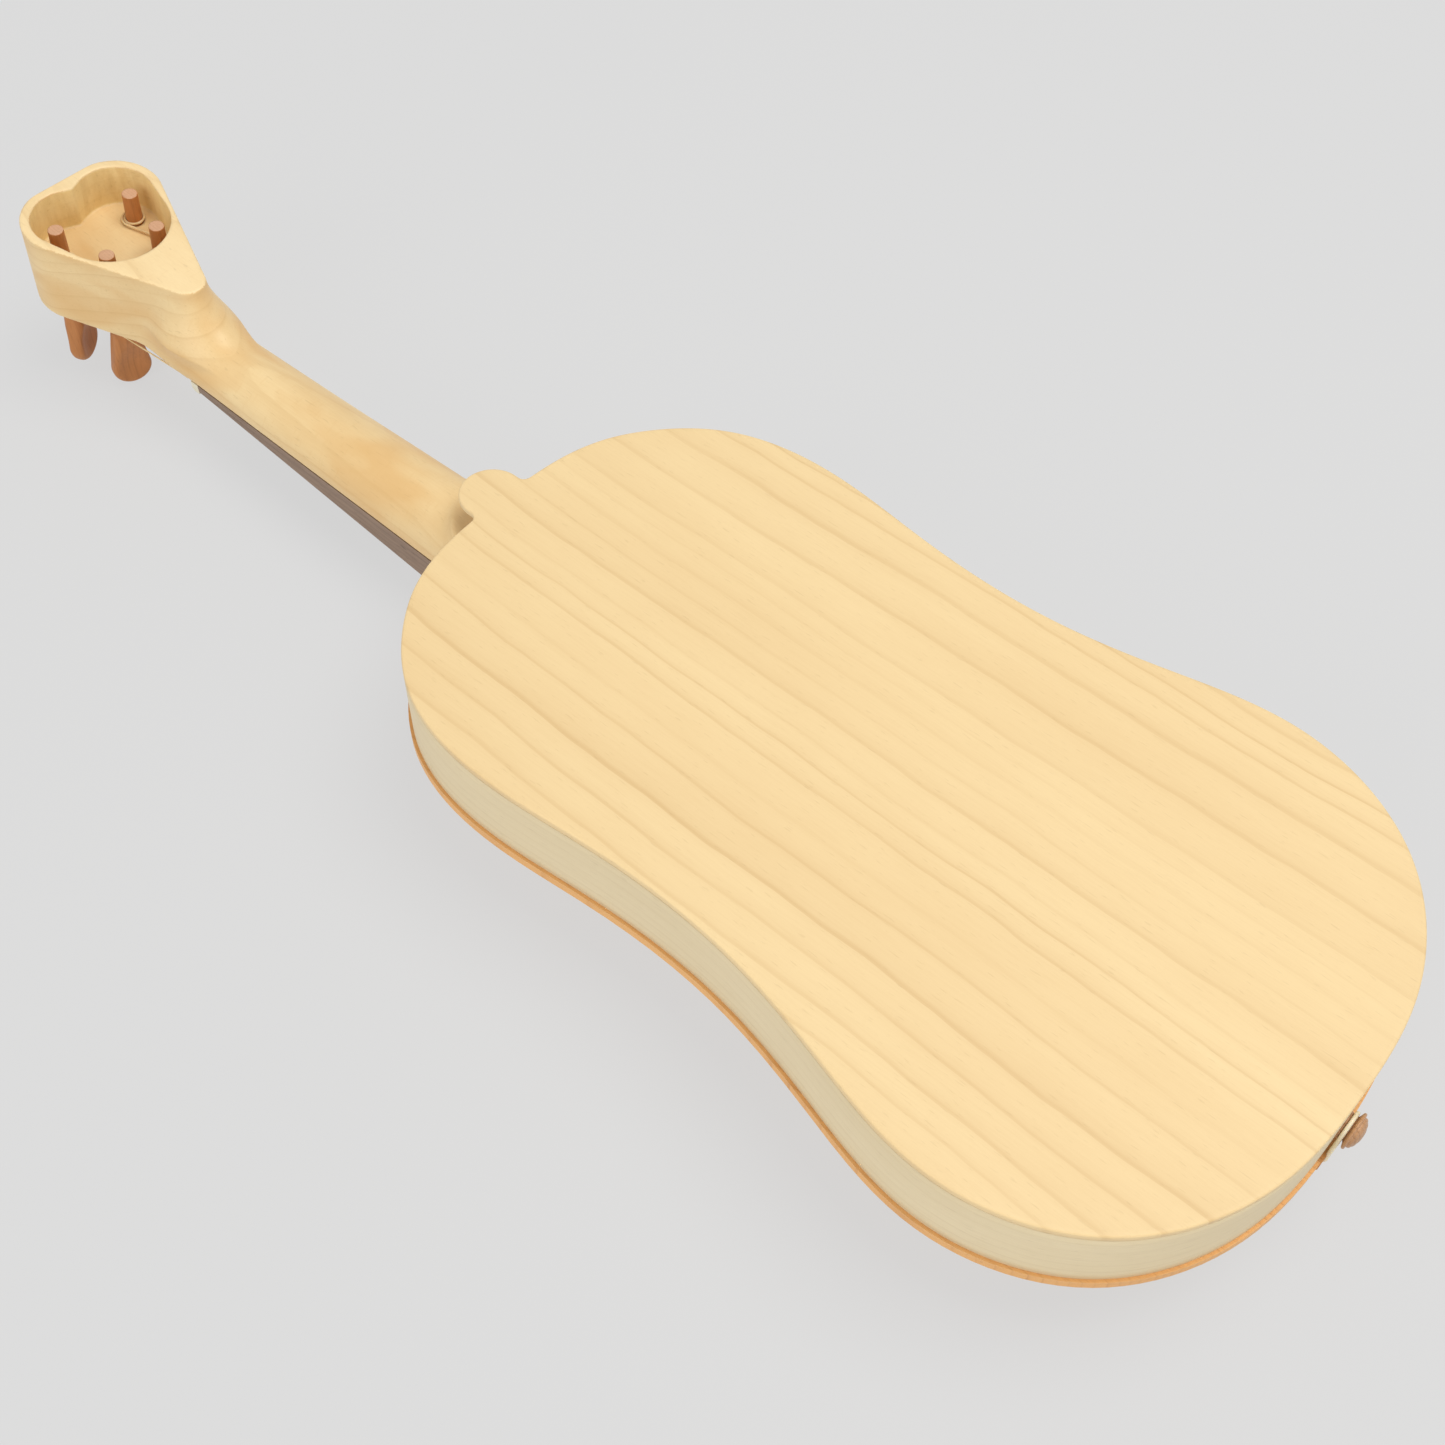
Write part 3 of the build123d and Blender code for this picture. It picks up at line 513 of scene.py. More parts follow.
def grown(path, amount):
    """A half outline moved outward by amount along its normals."""
    along = np.gradient(path, axis=0)
    along /= np.linalg.norm(along, axis=1)[:, None]
    along[0] = (0, 1)
    along[-1] = (0, -1)
    return path + np.stack([-along[:, 1], along[:, 0]], axis=1) * amount


BODY_PATH = dense_outline()


def back_path():
    """The half outline of the back with its tab; the corner between them is slightly rounded."""
    ease = BACK_CORNER_RADIUS
    clear_of_tab = (BODY_PATH[:, 0] < 0.5 * BODY_LENGTH) | (BODY_PATH[:, 1] > TAB_RADIUS + ease)
    start = BODY_PATH[clear_of_tab]
    turn = np.radians(np.linspace(180, 270, 10))
    centre = (BODY_LENGTH - 0.15 + ease, TAB_RADIUS + ease)
    corner = np.stack([centre[0] + ease * np.cos(turn), centre[1] + ease * np.sin(turn)], axis=1)
    turn = np.radians(np.linspace(90, 0, 60))
    tab = np.stack([TAB_CENTRE_X + TAB_RADIUS * np.cos(turn), TAB_RADIUS * np.sin(turn)], axis=1)
    return resample(np.vstack([start, corner, tab]), 420)[0]


def plate_cap(path, z, columns, up):
    """A flat cap in strips across the plate, so that its faces stay even."""
    shares = np.linspace(-1, 1, columns)
    rows = len(path)
    points = np.zeros((rows, columns, 3))
    points[..., 0] = path[:, None, 0]
    points[..., 1] = path[:, None, 1] * shares
    points[..., 2] = z
    faces = []
    for i in range(rows - 1):
        for j in range(columns - 1):
            a = i * columns + j
            quad = [a, a + columns, a + columns + 1, a + 1]
            faces.append(quad if up else quad[::-1])
    return points.reshape(-1, 3), faces


def loop_rings(rings):
    """Faces between closed loops given as (half path, z), the right half being the mirrored left."""
    points, faces = [], []
    count = 0
    for path, z in rings:
        right = path[-2:0:-1] * (1, -1)
        loop = np.vstack([path, right])
        count = len(loop)
        points.append(np.column_stack([loop, np.full(count, z)]))
    for r in range(len(rings) - 1):
        for i in range(count):
            j = (i + 1) % count
            faces.append([r * count + i, r * count + j, (r + 1) * count + j, (r + 1) * count + i])
    return np.vstack(points), faces


def weld(piece):
    """Joins the points that lie on each other and turns all faces outward."""
    distance = 2e-6
    mesh = piece.data
    work = bmesh.new()
    work.from_mesh(mesh)
    bmesh.ops.remove_doubles(work, verts=work.verts, dist=distance)
    bmesh.ops.dissolve_degenerate(work, edges=work.edges, dist=distance)
    bmesh.ops.recalc_face_normals(work, faces=work.faces)
    work.to_mesh(mesh)
    work.free()
    mesh.polygons.foreach_set("use_smooth", [True] * len(mesh.polygons))
    return piece


def combine(*parts):
    """One list of points and faces from several."""
    points, faces = [], []
    base = 0
    for part_points, part_faces in parts:
        points.append(np.asarray(part_points))
        faces += [[base + v for v in face] for face in part_faces]
        base += len(part_points)
    return np.vstack(points), faces


def build_back():
    """The flat back with its tab: the outer edge is rounded, the inner one only eased."""
    path = back_path()
    inner_inset = 1.2
    rings = [(grown(path, -CAP_INSET), 0.0)]
    for turn in np.radians(np.linspace(90, 0, 6)):
        inset = BACK_EDGE_RADIUS * (math.cos(turn) - 1)
        rings.append((grown(path, inset), BACK_EDGE_RADIUS * (math.sin(turn) - 1)))
    for inset, height in ((0, 0.5), (0.25, 0.08), (0.6, 0), (inner_inset, 0)):
        rings.append((grown(path, -inset), height - BACK_THICK))
    top = plate_cap(grown(path, -CAP_INSET), 0.0, 30, True)
    bottom = plate_cap(grown(path, -inner_inset), -BACK_THICK, 30, False)
    points, faces = combine(top, loop_rings(rings), bottom)
    piece = mesh_object("back_board", points, faces, [back_wood], "instrument", "back_plate")
    return weld(piece)


def build_rib(side, name):
    """A bent rib: outer face, inner face and slightly rounded long edges."""
    path, length = resample(BODY_PATH, 260)
    ease = RIB_EASE
    high, low = -BACK_THICK - 0.02, RIB_BOTTOM_Z
    section = [(-RIB_THICK, high), (-ease, high), (0, high - ease)]
    section += [(0, z) for z in np.linspace(high - ease, low + ease, 8)[1:-1]]
    section += [(0, low + ease), (-ease, low), (-RIB_THICK, low)]
    points, grain = [], []
    other_strip = 500 * side
    for grow, z in section:
        ring = grown(path, grow)
        level = np.full(len(ring), z)
        points.append(np.column_stack([ring, level]))
        grain.append(np.column_stack([length + other_strip, level, np.full(len(ring), grow)]))
    points, grain = np.array(points), np.vstack(grain)
    rows, columns = points.shape[:2]
    faces = []
    for i in range(rows):
        k = (i + 1) % rows
        for j in range(columns - 1):
            faces.append([i * columns + j, i * columns + j + 1, k * columns + j + 1, k * columns + j])
    faces.append([i * columns for i in range(rows)])
    faces.append([i * columns + columns - 1 for i in range(rows)][::-1])
    points = points.reshape(-1, 3) * (1, side, 1)
    piece = mesh_object(f"{name}_bent", points, faces, [rib_wood], "instrument", name, grain)
    return weld(piece)


# ---------------------------------------------------------------- distance fields


def soft_max(a, b, r):
    """What is inside both, with an edge of radius r."""
    return np.minimum(-r, np.maximum(a, b)) + np.hypot(np.maximum(a + r, 0), np.maximum(b + r, 0))


def soft_min(a, b, r):
    """What is inside either, with an inner corner of radius r."""
    return np.maximum(r, np.minimum(a, b)) - np.hypot(np.maximum(r - a, 0), np.maximum(r - b, 0))


def slope_between(value, start, end):
    """0 at start and before it, 1 at end and beyond it; end may be the lower one."""
    return np.clip((value - start) / (end - start), 0, 1)


def round_pair(u, v, start, end, start_radius, end_radius):
    """Distance to the hull of two circles."""
    du, dv = end[0] - start[0], end[1] - start[1]
    gap = math.hypot(du, dv)
    along = ((u - start[0]) * du + (v - start[1]) * dv) / gap
    side = np.abs((u - start[0]) * dv - (v - start[1]) * du) / gap
    lean = (start_radius - end_radius) / gap
    rise = math.sqrt(1 - lean * lean)
    key = -lean * side + rise * along
    near = np.hypot(side, along) - start_radius
    far = np.hypot(side, along - gap) - end_radius
    middle = side * rise + along * lean - start_radius
    return np.where(key < 0, near, np.where(key > rise * gap, far, middle))


def heart_distance(u, v):
    """The hull of the tip and both lobes. Folding over V 0 leaves one side and the flat end."""
    v = np.abs(v)
    lobe_u, lobe_v, lobe_radius = HEART_LOBE
    side = round_pair(u, v, (HEART_TIP_RADIUS, 0.0), (lobe_u, lobe_v), HEART_TIP_RADIUS, lobe_radius)
    flat_end = np.where(v < lobe_v, np.maximum(u - HEART_END, lobe_u - u), 1e3)
    return np.minimum(side, flat_end)


def cavity_distance(u, v):
    """One lobe and the round lower end. Folding over V 0 leaves the cusp between the lobes."""
    round_u, round_radius = CAVITY_ROUND
    lobe_u, lobe_v, lobe_radius = CAVITY_LOBE
    return round_pair(u, np.abs(v), (round_u, 0.0), (lobe_u, lobe_v), round_radius, lobe_radius)


NECK_BACK_X, NECK_BACK_Z = np.array(NECK_BACK, float).T


def smooth_profile(x, knots, values):
    """A smooth cubic curve through the knots."""
    slope = np.gradient(values, knots)
    i = np.clip(np.searchsorted(knots, x) - 1, 0, len(knots) - 2)
    h = knots[i + 1] - knots[i]
    t = np.clip((x - knots[i]) / h, 0, 1)
    return ((2 * t**3 - 3 * t**2 + 1) * values[i] + (t**3 - 2 * t**2 + t) * h * slope[i]
            + (3 * t**2 - 2 * t**3) * values[i + 1] + (t**3 - t**2) * h * slope[i + 1])


def neck_half_width(x):
    """The neck widens evenly from the nut to the body."""
    share = (NUT_X - np.minimum(x, NUT_X)) / (NUT_X - BODY_LENGTH)
    return NUT_HALF_WIDTH + (BODY_JOINT_HALF_WIDTH - NUT_HALF_WIDTH) * share


def shaft_distance(x, y, z):
    """The neck: a flat front, short straight sides and a rounded back."""
    half = neck_half_width(x)
    side_z = NECK_FRONT_Z + NECK_SIDE
    height = smooth_profile(x, NECK_BACK_X, NECK_BACK_Z) - side_z
    dz = z - side_z
    power = NECK_ROUND_POWER + (NECK_POWER_AT_BODY - NECK_ROUND_POWER) * slope_between(x, 420.0, 394.0)
    across, up = np.abs(y) / half + 1e-6, np.maximum(dz, 0) / height + 1e-6
    total = (across**power + up**power) ** (1 / power)
    slope = np.hypot(across ** (power - 1) / half, up ** (power - 1) / height) * total ** (1 - power)
    rounded = (total - 1.0) / slope
    sides = np.abs(y) - half
    section = np.where(dz > 0, rounded, sides)
    section = soft_max(section, NECK_FRONT_Z - z, 0.5)
    ends_inside_head = x - 640.0
    return np.maximum(section, ends_inside_head)


def heel_distance(x, y, z):
    """The post that carries the tab: the tab's outline, widening on its way down into the neck."""
    radius = TAB_RADIUS - HEEL_INSET + HEEL_FLARE * np.clip(-BACK_THICK - z, 0, HEEL_FLARE_DEPTH)
    tab = np.where(x > TAB_CENTRE_X, np.hypot(x - TAB_CENTRE_X, y), np.abs(y)) - radius
    return np.maximum(soft_max(tab, z + BACK_THICK + 0.02, 0.3), HEEL_FOOT_Z - z)


def on_pegbox(x, z):
    """Distance along the pegbox's face from its tip, and depth under the face."""
    return (x - TIP_X) * COS + (z - TIP_Z) * SIN, (x - TIP_X) * SIN - (z - TIP_Z) * COS


def peg_radius(depth):
    """The taper is the same for every peg, whatever the depth at which its end is cut off."""
    return PEG_END_RADIUS + PEG_TAPER * (depth - PEG_END_DEPTH)


def head_distance(u, v, d):
    """The heart-shaped head, with its far end rounded toward the front."""
    middle_u, middle_d = HEART_END - HEAD_END_ROUNDING, PEGBOX_DEPTH - HEAD_END_ROUNDING
    corner_u, corner_d = u - middle_u, d - middle_d
    rounded = np.hypot(corner_u, corner_d) - HEAD_END_ROUNDING
    head_end = np.where((corner_u > 0) & (corner_d > 0), rounded, u - HEART_END)
    return soft_max(heart_distance(u, v), head_end, 1.6)


def head_blend(x, d):
    """The radius between neck and head: wide at the neck's back, small at the front and past it."""
    fade = slope_between(x, 597.0, 569.0)
    return 1.5 + (2.5 + 22.0 * slope_between(d, 38.0, 27.0)) * fade * fade * (3 - 2 * fade)


def neck_distance(x, y, z):
    """Heel, neck and head in one, with the cavity and all the holes."""
    u, d = on_pegbox(x, z)
    shaft = soft_min(shaft_distance(x, y, z), heel_distance(x, y, z), HEEL_BLEND)
    whole = soft_min(head_distance(u, y, d), shaft, head_blend(x, d))
    whole = soft_max(whole, -d, 0.8)
    front = np.maximum(d - PEGBOX_DEPTH, np.where(x < TIP_X, NECK_FRONT_Z - z, -1e3))
    whole = soft_max(whole, front, 1.2)
    cavity = soft_max(cavity_distance(u, y), d - CAVITY_DEPTH, 0.7)
    whole = soft_max(whole, -cavity, 0.6)
    for peg_u, peg_v in PEG_PLACES:
        hole = np.hypot(u - peg_u, y - peg_v) - (peg_radius(d) + PEG_HOLE_GAP)
        whole = np.maximum(whole, -hole)
    for hole_u, hole_v in STRING_HOLES:
        whole = np.maximum(whole, -(np.hypot(u - hole_u, y - hole_v) - STRING_HOLE_RADIUS))
    # the end against the ribs follows their curve, and the heel stops under the tab
    rib_x = BODY_LENGTH + 0.05 - 0.0026 * y * y
    whole = np.maximum(whole, rib_x - x)
    return np.where(x < TAB_CENTRE_X + TAB_RADIUS + 1, np.maximum(whole, z + BACK_THICK + 0.02), whole)


def surface_nets(field, low, high, step):
    """Quads on the zero surface of a distance field, each point moved onto it at the end."""
    axes = [np.arange(low[i], high[i] + step, step) for i in range(3)]
    shape = [len(a) for a in axes]
    values = np.empty(shape)
    for i in range(0, shape[0], 24):
        grid = np.meshgrid(axes[0][i: i + 24], axes[1], axes[2], indexing="ij")
        values[i: i + 24] = field(*grid)
    inside = values < 0
    cells = [s - 1 for s in shape]
    count = np.zeros(cells, int)
    offsets = [(a, b, c) for a in (0, 1) for b in (0, 1) for c in (0, 1)]
    for a, b, c in offsets:
        count += inside[a: a + cells[0], b: b + cells[1], c: c + cells[2]]
    mixed = (count > 0) & (count < 8)
    where = np.array(np.nonzero(mixed)).T
    index = np.full(cells, -1)
    index[mixed] = np.arange(len(where))
    total, number = np.zeros((len(where), 3)), np.zeros(len(where))
    for a in offsets:
        for axis in range(3):
            if a[axis]:
                continue
            b = list(a)
            b[axis] = 1
            va = values[tuple((where + a).T)]
            vb = values[tuple((where + b).T)]
            cross = (va < 0) != (vb < 0)
            share = va[cross] / (va[cross] - vb[cross])
            spot = np.tile(np.array(a, float), (cross.sum(), 1))
            spot[:, axis] = share
            total[cross] += spot
            number[cross] += 1
    points = np.array(low) + step * (where + total / number[:, None])
    faces = []
    for axis in range(3):
        one, two = [k for k in range(3) if k != axis]
        first = inside.take(range(shape[axis] - 1), axis)
        second = inside.take(range(1, shape[axis]), axis)
        edge = np.array(np.nonzero(first != second)).T
        row, column = edge[:, one], edge[:, two]
        edge = edge[(row > 0) & (row < cells[one]) & (column > 0) & (column < cells[two])]
        out = first[tuple(edge.T)]
        quad = []
        for da, db in ((-1, -1), (0, -1), (0, 0), (-1, 0)):
            cell = edge.copy()
            cell[:, one] += da
            cell[:, two] += db
            quad.append(index[tuple(cell.T)])
        quad = np.array(quad).T
        flip = out if axis != 1 else ~out
        quad[~flip] = quad[~flip][:, ::-1]
        faces.append(quad)
    tiny = 0.02
    for _ in range(3):
        here = field(*points.T)
        slope = np.stack([(field(*(points + nudge).T) - field(*(points - nudge).T)) / (2 * tiny)
                          for nudge in tiny * np.eye(3)], axis=1)
        move = here / np.maximum((slope**2).sum(1), 0.25)
        points -= np.clip(move, -0.5 * step, 0.5 * step)[:, None] * slope
    return points, np.vstack(faces)


def build_neck():
    """The carved piece; the cavity's walls have their own wood, and the head's flat face a lighter copy of
    the neck's wood, which is painted light.
    """
    points, faces = surface_nets(neck_distance, (377.0, -34.5, -44.0), (659.0, 34.5, 13.0), 0.8)
    x, y, z = points[faces].mean(axis=1).T
    u, d = on_pegbox(x, z)
    inside = (cavity_distance(u, y) < 0.25) & (d > 0.9) & (d < CAVITY_DEPTH - 0.35)
    # Painted light: the faces on the pegbox's flat face get the lighter copy of the neck's wood
    face = (d < 0.45) & (x > TIP_X - 2)
    return mesh_object("neck_carved", points, faces, [neck_wood, cavity_wood, pegbox_face_lit_wood], "instrument",
                       "neck", face_material=np.where(face, 2, inside.astype(int)))


# ---------------------------------------------------------------- pegs


def peg_local_to_bench(number, points):
    """Peg frame (a, b across, h down the axis from the pegbox's face) to bench mm."""
    peg_u, peg_v = PEG_PLACES[number]
    turn = math.radians(PEG_TURN[number])
    a, b, h = np.asarray(points, float).T
    u = peg_u + a * math.cos(turn) - b * math.sin(turn)
    v = peg_v + a * math.sin(turn) + b * math.cos(turn)
    return np.stack([TIP_X + u * COS + h * SIN, v, TIP_Z + u * SIN - h * COS], axis=1)


def peg_head_length():
    """The near pair reaches down to just above the level that the bridge's top rests on."""
    near_u = PEG_PLACES[1][0]
    start_z = TIP_Z + near_u * SIN - (PEGBOX_DEPTH + PEG_NECK_LENGTH) * COS
    return (start_z - REST_Z) / COS - 0.6


# A peg's head, in mm; the hollow for the thumb lies at a share of the head's length
SHAFT_INTO_HEAD = 3.0
BEAD_REACH = 3.7
BEAD_RADIUS = 0.9
LEAF_TOP_AT = 6.6
LEAF_TOP_RADIUS = 5.9
LEAF_END_RADIUS = 9.1
LEAF_HALF_THICK = 4.5
LEAF_THINNING = 0.05
THUMB_SHARE = 0.66
THUMB_STRETCH = 1.35
THUMB_OUT = 14.2
THUMB_RADIUS = 12.3
SHOULDER_LENGTH = 6.0
SHOULDER_RADIUS = 4.3


def peg_distance(number):
    """The shaft with a turned bead, and a leaf that is broad from the top, hollowed for the thumb."""
    length = peg_head_length()
    start = PEGBOX_DEPTH + PEG_NECK_LENGTH
    end = PEG_BELOW_FACE[number]

    def field(a, b, h):
        down = h - start
        reach = np.hypot(a, b)
        shaft = soft_max(reach - peg_radius(h), end - h, 0.35)
        shaft = np.maximum(shaft, down - SHAFT_INTO_HEAD)
        bead = np.hypot(np.maximum(reach - BEAD_REACH, 0), down - BEAD_RADIUS) - BEAD_RADIUS
        leaf = round_pair(down, a, (LEAF_TOP_AT, 0.0), (length - LEAF_END_RADIUS, 0.0), LEAF_TOP_RADIUS,
                          LEAF_END_RADIUS)
        half_thick = LEAF_HALF_THICK - LEAF_THINNING * np.clip(down - 0.35 * length, 0, 40)
        blade = soft_max(leaf, np.abs(b) - half_thick, 3.0)
        along_thumb = (down - THUMB_SHARE * length) / THUMB_STRETCH
        thumb = np.sqrt(a**2 + along_thumb**2 + (np.abs(b) - THUMB_OUT) ** 2) - THUMB_RADIUS
        blade = soft_max(blade, -thumb, 1.6)
        shoulder = np.hypot(reach, np.maximum(down - SHOULDER_LENGTH, 0)) - SHOULDER_RADIUS
        head = soft_min(blade, np.maximum(shoulder, -down), 2.4)
        head = soft_min(head, bead, 0.4)
        return soft_min(shaft, head, 0.3)

    return field


def build_peg(number):
    """One peg, with end grain where its shaft is cut off."""
    far = PEGBOX_DEPTH + PEG_NECK_LENGTH + peg_head_length() + 1.0
    points, faces = surface_nets(peg_distance(number), (-10.4, -6.6, 1.6), (10.4, 6.6, far), 0.42)
    corners = points[faces]
    normal = np.cross(corners[:, 2] - corners[:, 0], corners[:, 3] - corners[:, 1])
    normal /= np.linalg.norm(normal, axis=1)[:, None] + 1e-12
    is_end = (np.abs(normal[:, 2]) > 0.8) & (corners[:, :, 2].mean(1) < PEG_BELOW_FACE[number] + 0.5)
    placed = peg_local_to_bench(number, points)
    name = f"peg_{number + 1}"
    return mesh_object(f"{name}_turned", placed, faces, [peg_wood, peg_end_wood], f"tuning_{name}", name,
                       face_material=is_end.astype(int))


def tube(points, radius):
    """A round closed tube along points, with frames carried along without twist."""
    sides = 10
    along = np.gradient(points, axis=0)
    along /= np.linalg.norm(along, axis=1)[:, None]
    guide = np.array([0.0, 0.0, 1.0]) if abs(along[0][2]) < 0.9 else np.array([1.0, 0.0, 0.0])
    rings = []
    for here, forward in zip(points, along):
        guide = guide - forward * guide.dot(forward)
        guide /= np.linalg.norm(guide)
        other = np.cross(forward, guide)
        turn = np.linspace(0, 2 * math.pi, sides, endpoint=False)
        rings.append(here + radius * (np.cos(turn)[:, None] * guide + np.sin(turn)[:, None] * other))
    faces = []
    last = (len(points) - 1) * sides
    for base in range(0, last, sides):
        for j in range(sides):
            k = (j + 1) % sides
            faces.append([base + j, base + k, base + sides + k, base + sides + j])
    faces.append(list(range(sides))[::-1])
    faces.append([last + j for j in range(sides)])
    return np.vstack(rings), faces


def string_end_bearing(number):
    """The angle round a peg at which its string arrives, and its distance from the peg's axis."""
    radius = STRING_RADII[number]
    peg_u, peg_v = PEG_PLACES[number]
    hole_u, hole_v = STRING_HOLES[number]
    reach = WINDING_RADIUS + radius + STRING_GAP
    gap = math.hypot(peg_u - hole_u, peg_v - hole_v)
    return math.atan2(hole_v - peg_v, hole_u - peg_u) + STRING_SIDES[number] * math.acos(reach / gap), reach


def build_winding(number):
    """The turns of a string round its peg: two layers, the last half turn easing out to the string."""
    radius = STRING_RADII[number]
    bearing, reach = string_end_bearing(number)
    peg_u, peg_v = PEG_PLACES[number]
    middle = CAVITY_DEPTH - 0.5 * WINDING_HEIGHT - WINDING_GAP
    pitch = 2.06 * radius
    turns = int((WINDING_HEIGHT - 2 * radius) / pitch)
    shaft = peg_radius(middle)
    steps = 44
    half_height = 0.5 * turns * pitch
    path = []
    for i in range(turns * steps + 1):
        share = i / steps
        path.append((share, shaft + radius * 0.98, middle + half_height - share * pitch))
    second = int((turns // 2 + 0.5) * steps)
    for i in range(1, second + 1):
        share = i / steps
        out = shaft + radius * (0.98 + 1.75 * min(1.0, share / 0.35))
        deep = middle - half_height + share * pitch
        leaving = max(0.0, 1 - (second - i) / (0.55 * steps))
        out += (reach - 0.02 - out) * leaving * leaving
        path.append((turns + share, out, deep + (middle - deep) * leaving))
    path = np.array(path)
    angle = bearing - STRING_SIDES[number] * 2 * math.pi * (path[:, 0] - path[-1, 0])
    u = peg_u + path[:, 1] * np.cos(angle)
    v = peg_v + path[:, 1] * np.sin(angle)
    h = path[:, 2]
    line = np.stack([TIP_X + u * COS + h * SIN, v, TIP_Z + u * SIN - h * COS], axis=1)
    points, faces = tube(line, radius)
    name = f"string_winding_{number + 1}"
    return mesh_object(f"{name}_coil", points, faces, [gut], f"tuning_peg_{number + 1}", name)


# ---------------------------------------------------------------- end button


# X outside the tail, and radius round the button's axis
BUTTON_PROFILE = [
    (0.6, 0.0), (0.6, 4.6), (0.1, 4.95), (-0.35, 5.0), (-0.6, 4.9), (-0.8, 4.6), (-0.95, 4.5), (-2.3, 4.5),
    (-2.6, 4.75), (-2.95, 5.6), (-3.15, 6.5), (-3.4, 6.86), (-3.75, 7.0), (-4.1, 6.9), (-4.3, 6.65),
    (-4.36, 6.2), (-4.34, 5.9), (-4.42, 5.74), (-4.65, 5.76), (-5.05, 5.68), (-5.4, 5.4), (-5.6, 5.1),
    (-5.6, 4.9), (-5.7, 4.74), (-5.98, 4.5), (-6.3, 3.9), (-6.5, 3.2), (-6.5, 3.0), (-6.52, 2.84),
    (-6.66, 2.6), (-6.84, 2.0), (-6.95, 1.2), (-6.98, 0.0),
]


def build_button():
    """The turned button, from its stem in the rib to its rounded end."""
    profile = np.array(BUTTON_PROFILE)
    segments = 72
    turn = np.linspace(0, 2 * math.pi, segments, endpoint=False)
    points, faces = [], []
    for x, r in profile:
        points += [(x, r * math.cos(t), BUTTON_Z + r * math.sin(t)) for t in turn]
    for i in range(len(profile) - 1):
        for j in range(segments):
            k = (j + 1) % segments
            faces.append([i * segments + j, i * segments + k, (i + 1) * segments + k, (i + 1) * segments + j])
    piece = mesh_object("end_button_turned", points, faces, [button_wood], "instrument", "end_button")
    weld(piece)
    round_off = piece.modifiers.new("smooth", "SUBSURF")
    round_off.levels = round_off.render_levels = 1
    return piece


# ---------------------------------------------------------------- build


build_back()
build_rib(1, "rib_left")
build_rib(-1, "rib_right")
build_neck()
for peg_number in range(4):
    build_peg(peg_number)
    build_winding(peg_number)
build_button()

# The nodes that are shown with the CAD's own shape: their material, and the bevel on their edges in mm
KEPT = {
    "top_plate": (top_wood, 0.5), "fingerboard": (board_wood, 0.5), "nut": (bone, 0.25),
    "saddle": (saddle_wood, 0.3), "tailpiece": (tail_wood, 0.4), "bridge": (bridge_wood, 0.4),
    "tail_gut": (tail_gut_material, 0),
}
for number in range(1, 5):
    KEPT[f"string_{number}"] = (gut, 0)
for node_name, node_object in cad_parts.items():
    if node_object.hide_render:
        continue
    material, ease = KEPT.get(node_name, (inner_wood, 0))
    node_object.data.materials.clear()
    node_object.data.materials.append(material)
    if ease:
        edge = node_object.modifiers.new("eased_edges", "BEVEL")
        edge.width = ease * 0.001
        edge.segments = 3
        edge.limit_method = "ANGLE"
        edge.angle_limit = math.radians(40)
        edge.harden_normals = True

# ---------------------------------------------------------------- stage, light and camera


def floor_material():
    """A dark floor with an even glow of its own, so that it looks light and shadows on it stay faint."""
    n = Nodes("studio_floor")
    drift = n.noise(n.coords, (1.3, 1.3, 1.3), 2.0, 0.5)
    colour = n.mix(drift, (0.10, 0.10, 0.10), (0.115, 0.115, 0.115))
    material = n.finish(colour, n.math("MULTIPLY_ADD", drift, 0.05, 0.85), n.bump(drift, 0.0001, 0.1), 0.1)
    n.shader.inputs["Emission Color"].default_value = (1, 1, 1, 1)
    n.shader.inputs["Emission Strength"].default_value = 0.60
    return material


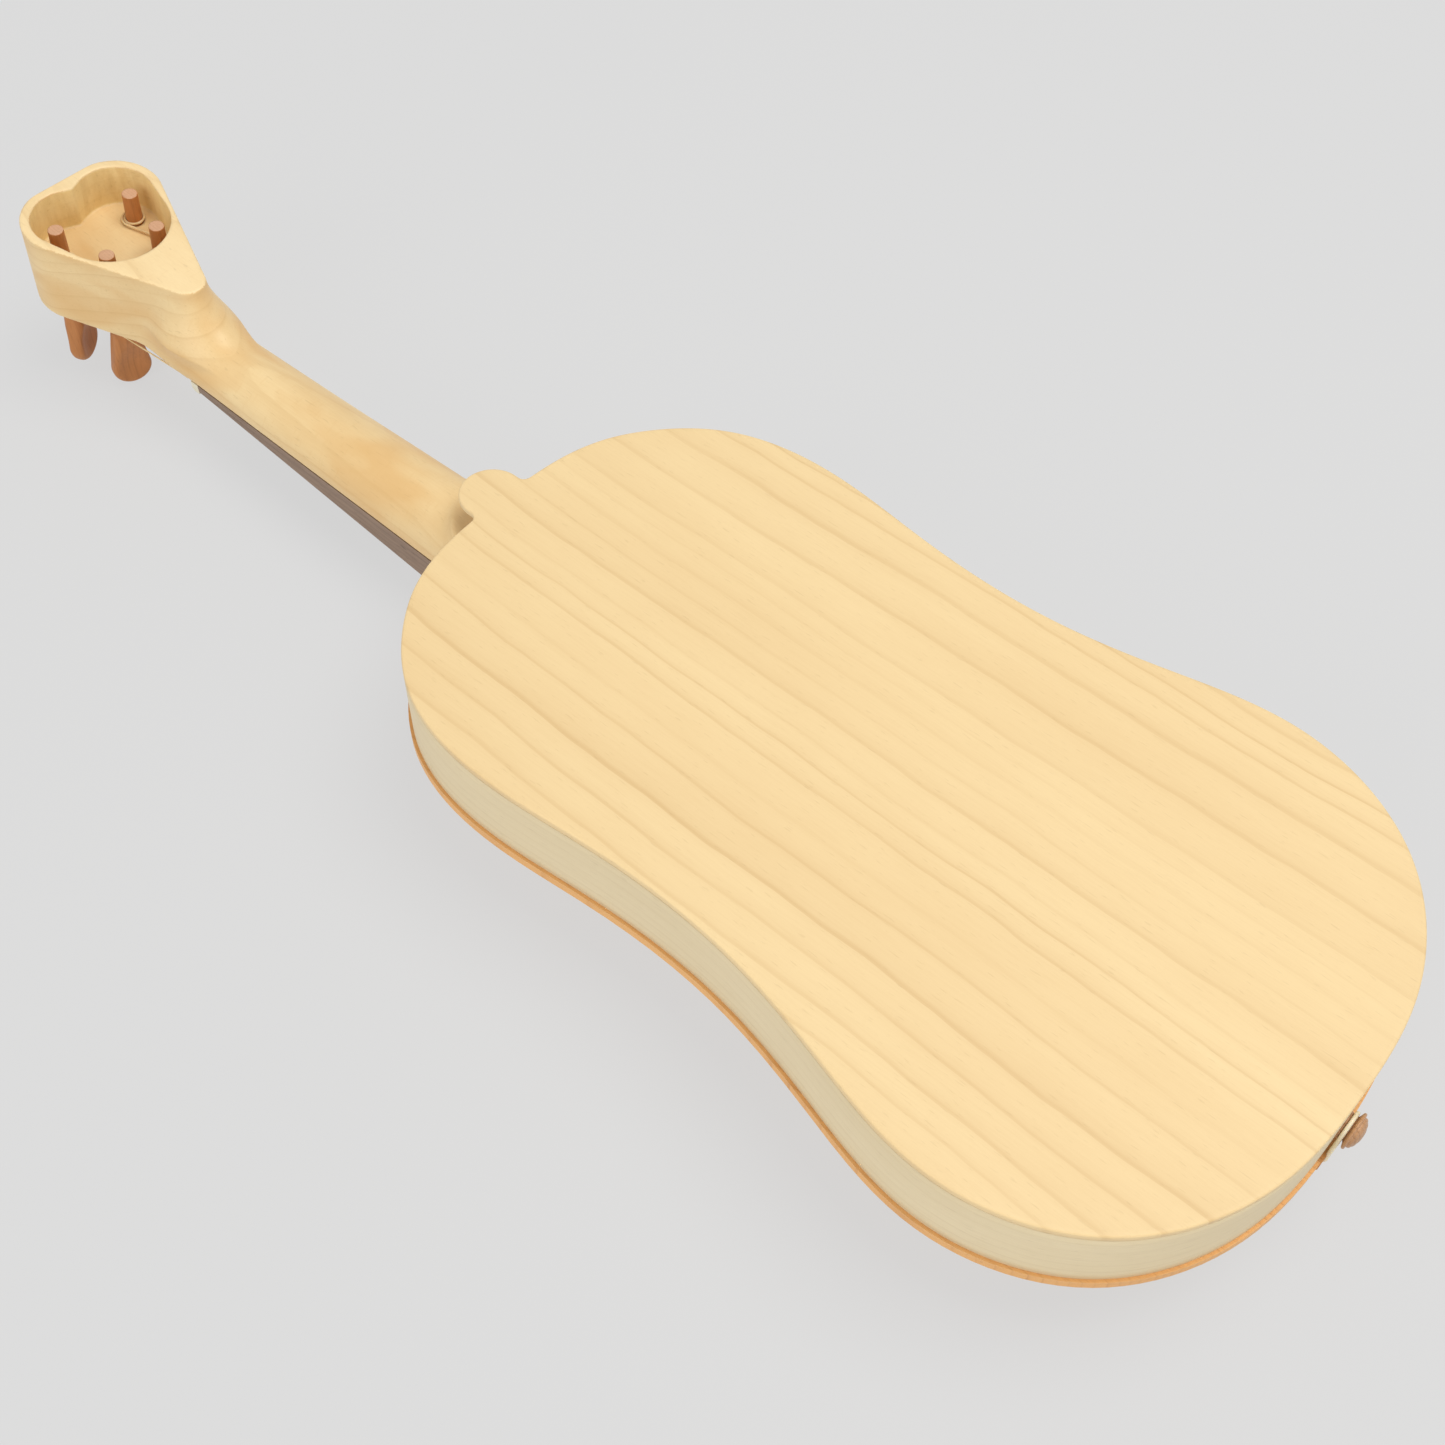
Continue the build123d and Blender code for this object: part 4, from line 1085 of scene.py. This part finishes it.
def build_floor():
    mesh = bpy.data.meshes.new("floor")
    size = 12.0
    z = FLOOR_Z - 0.0003
    corners = [(-size, -size, z), (size, -size, z), (size, size, z), (-size, size, z)]
    mesh.from_pydata(corners, [], [(0, 1, 2, 3)])
    mesh.materials.append(floor_material())
    floor = bpy.data.objects.new("floor", mesh)
    bpy.context.scene.collection.objects.link(floor)


def area_light(name, place, target, size, watts, colour):
    """A round lamp that looks at its target; all in metres of the row frame."""
    light = bpy.data.lights.new(name, "AREA")
    light.shape = "DISK"
    light.size = size
    light.energy = watts
    light.color = colour
    lamp = bpy.data.objects.new(name, light)
    bpy.context.scene.collection.objects.link(lamp)
    away = np.array(place, float) - np.array(target, float)
    away /= np.linalg.norm(away)
    side = np.cross((0, 0, 1), away)
    side /= np.linalg.norm(side)
    up = np.cross(away, side)
    turn = Matrix(((side[0], up[0], away[0]), (side[1], up[1], away[1]), (side[2], up[2], away[2])))
    lamp.matrix_world = Matrix.Translation(place) @ turn.to_4x4()


build_floor()
area_light("key", (-0.6, -0.5, 2.2), (0, 0, 0.05), 1.6, 31.0, (1.0, 0.985, 0.96))
area_light("fill", (-0.15, 2.0, 0.85), (0, 0, 0.03), 1.8, 17.0, (0.98, 0.99, 1.0))
area_light("tail", (-2.2, -0.1, 0.2), (-0.3, 0, 0.05), 1.0, 5.0, (0.97, 0.985, 1.0))
world = bpy.data.worlds.new("studio")
world.use_nodes = True
world.node_tree.nodes["Background"].inputs["Color"].default_value = (1.0, 1.0, 1.0, 1)
world.node_tree.nodes["Background"].inputs["Strength"].default_value = 0.5
bpy.context.scene.world = world
bpy.context.scene.view_settings.view_transform = "Standard"

# The photo's viewpoint: bench mm, turns about X, Y and Z in degrees, and the lens in mm
CAMERA_PLACE = (-3.110, 328.537, 519.828)
CAMERA_TURN = (36.956, -1.387, -139.058)
CAMERA_LENS = 45.533
camera_data = bpy.data.cameras.new("camera")
camera_data.sensor_width = 36.0
camera_data.lens = CAMERA_LENS
camera_data.clip_start = 0.01
camera = bpy.data.objects.new("camera", camera_data)
bpy.context.scene.collection.objects.link(camera)
camera_turn = Euler([math.radians(angle) for angle in CAMERA_TURN]).to_matrix().to_4x4()
camera.matrix_world = Matrix.Translation(to_row([CAMERA_PLACE])[0]) @ camera_turn
bpy.context.scene.camera = camera
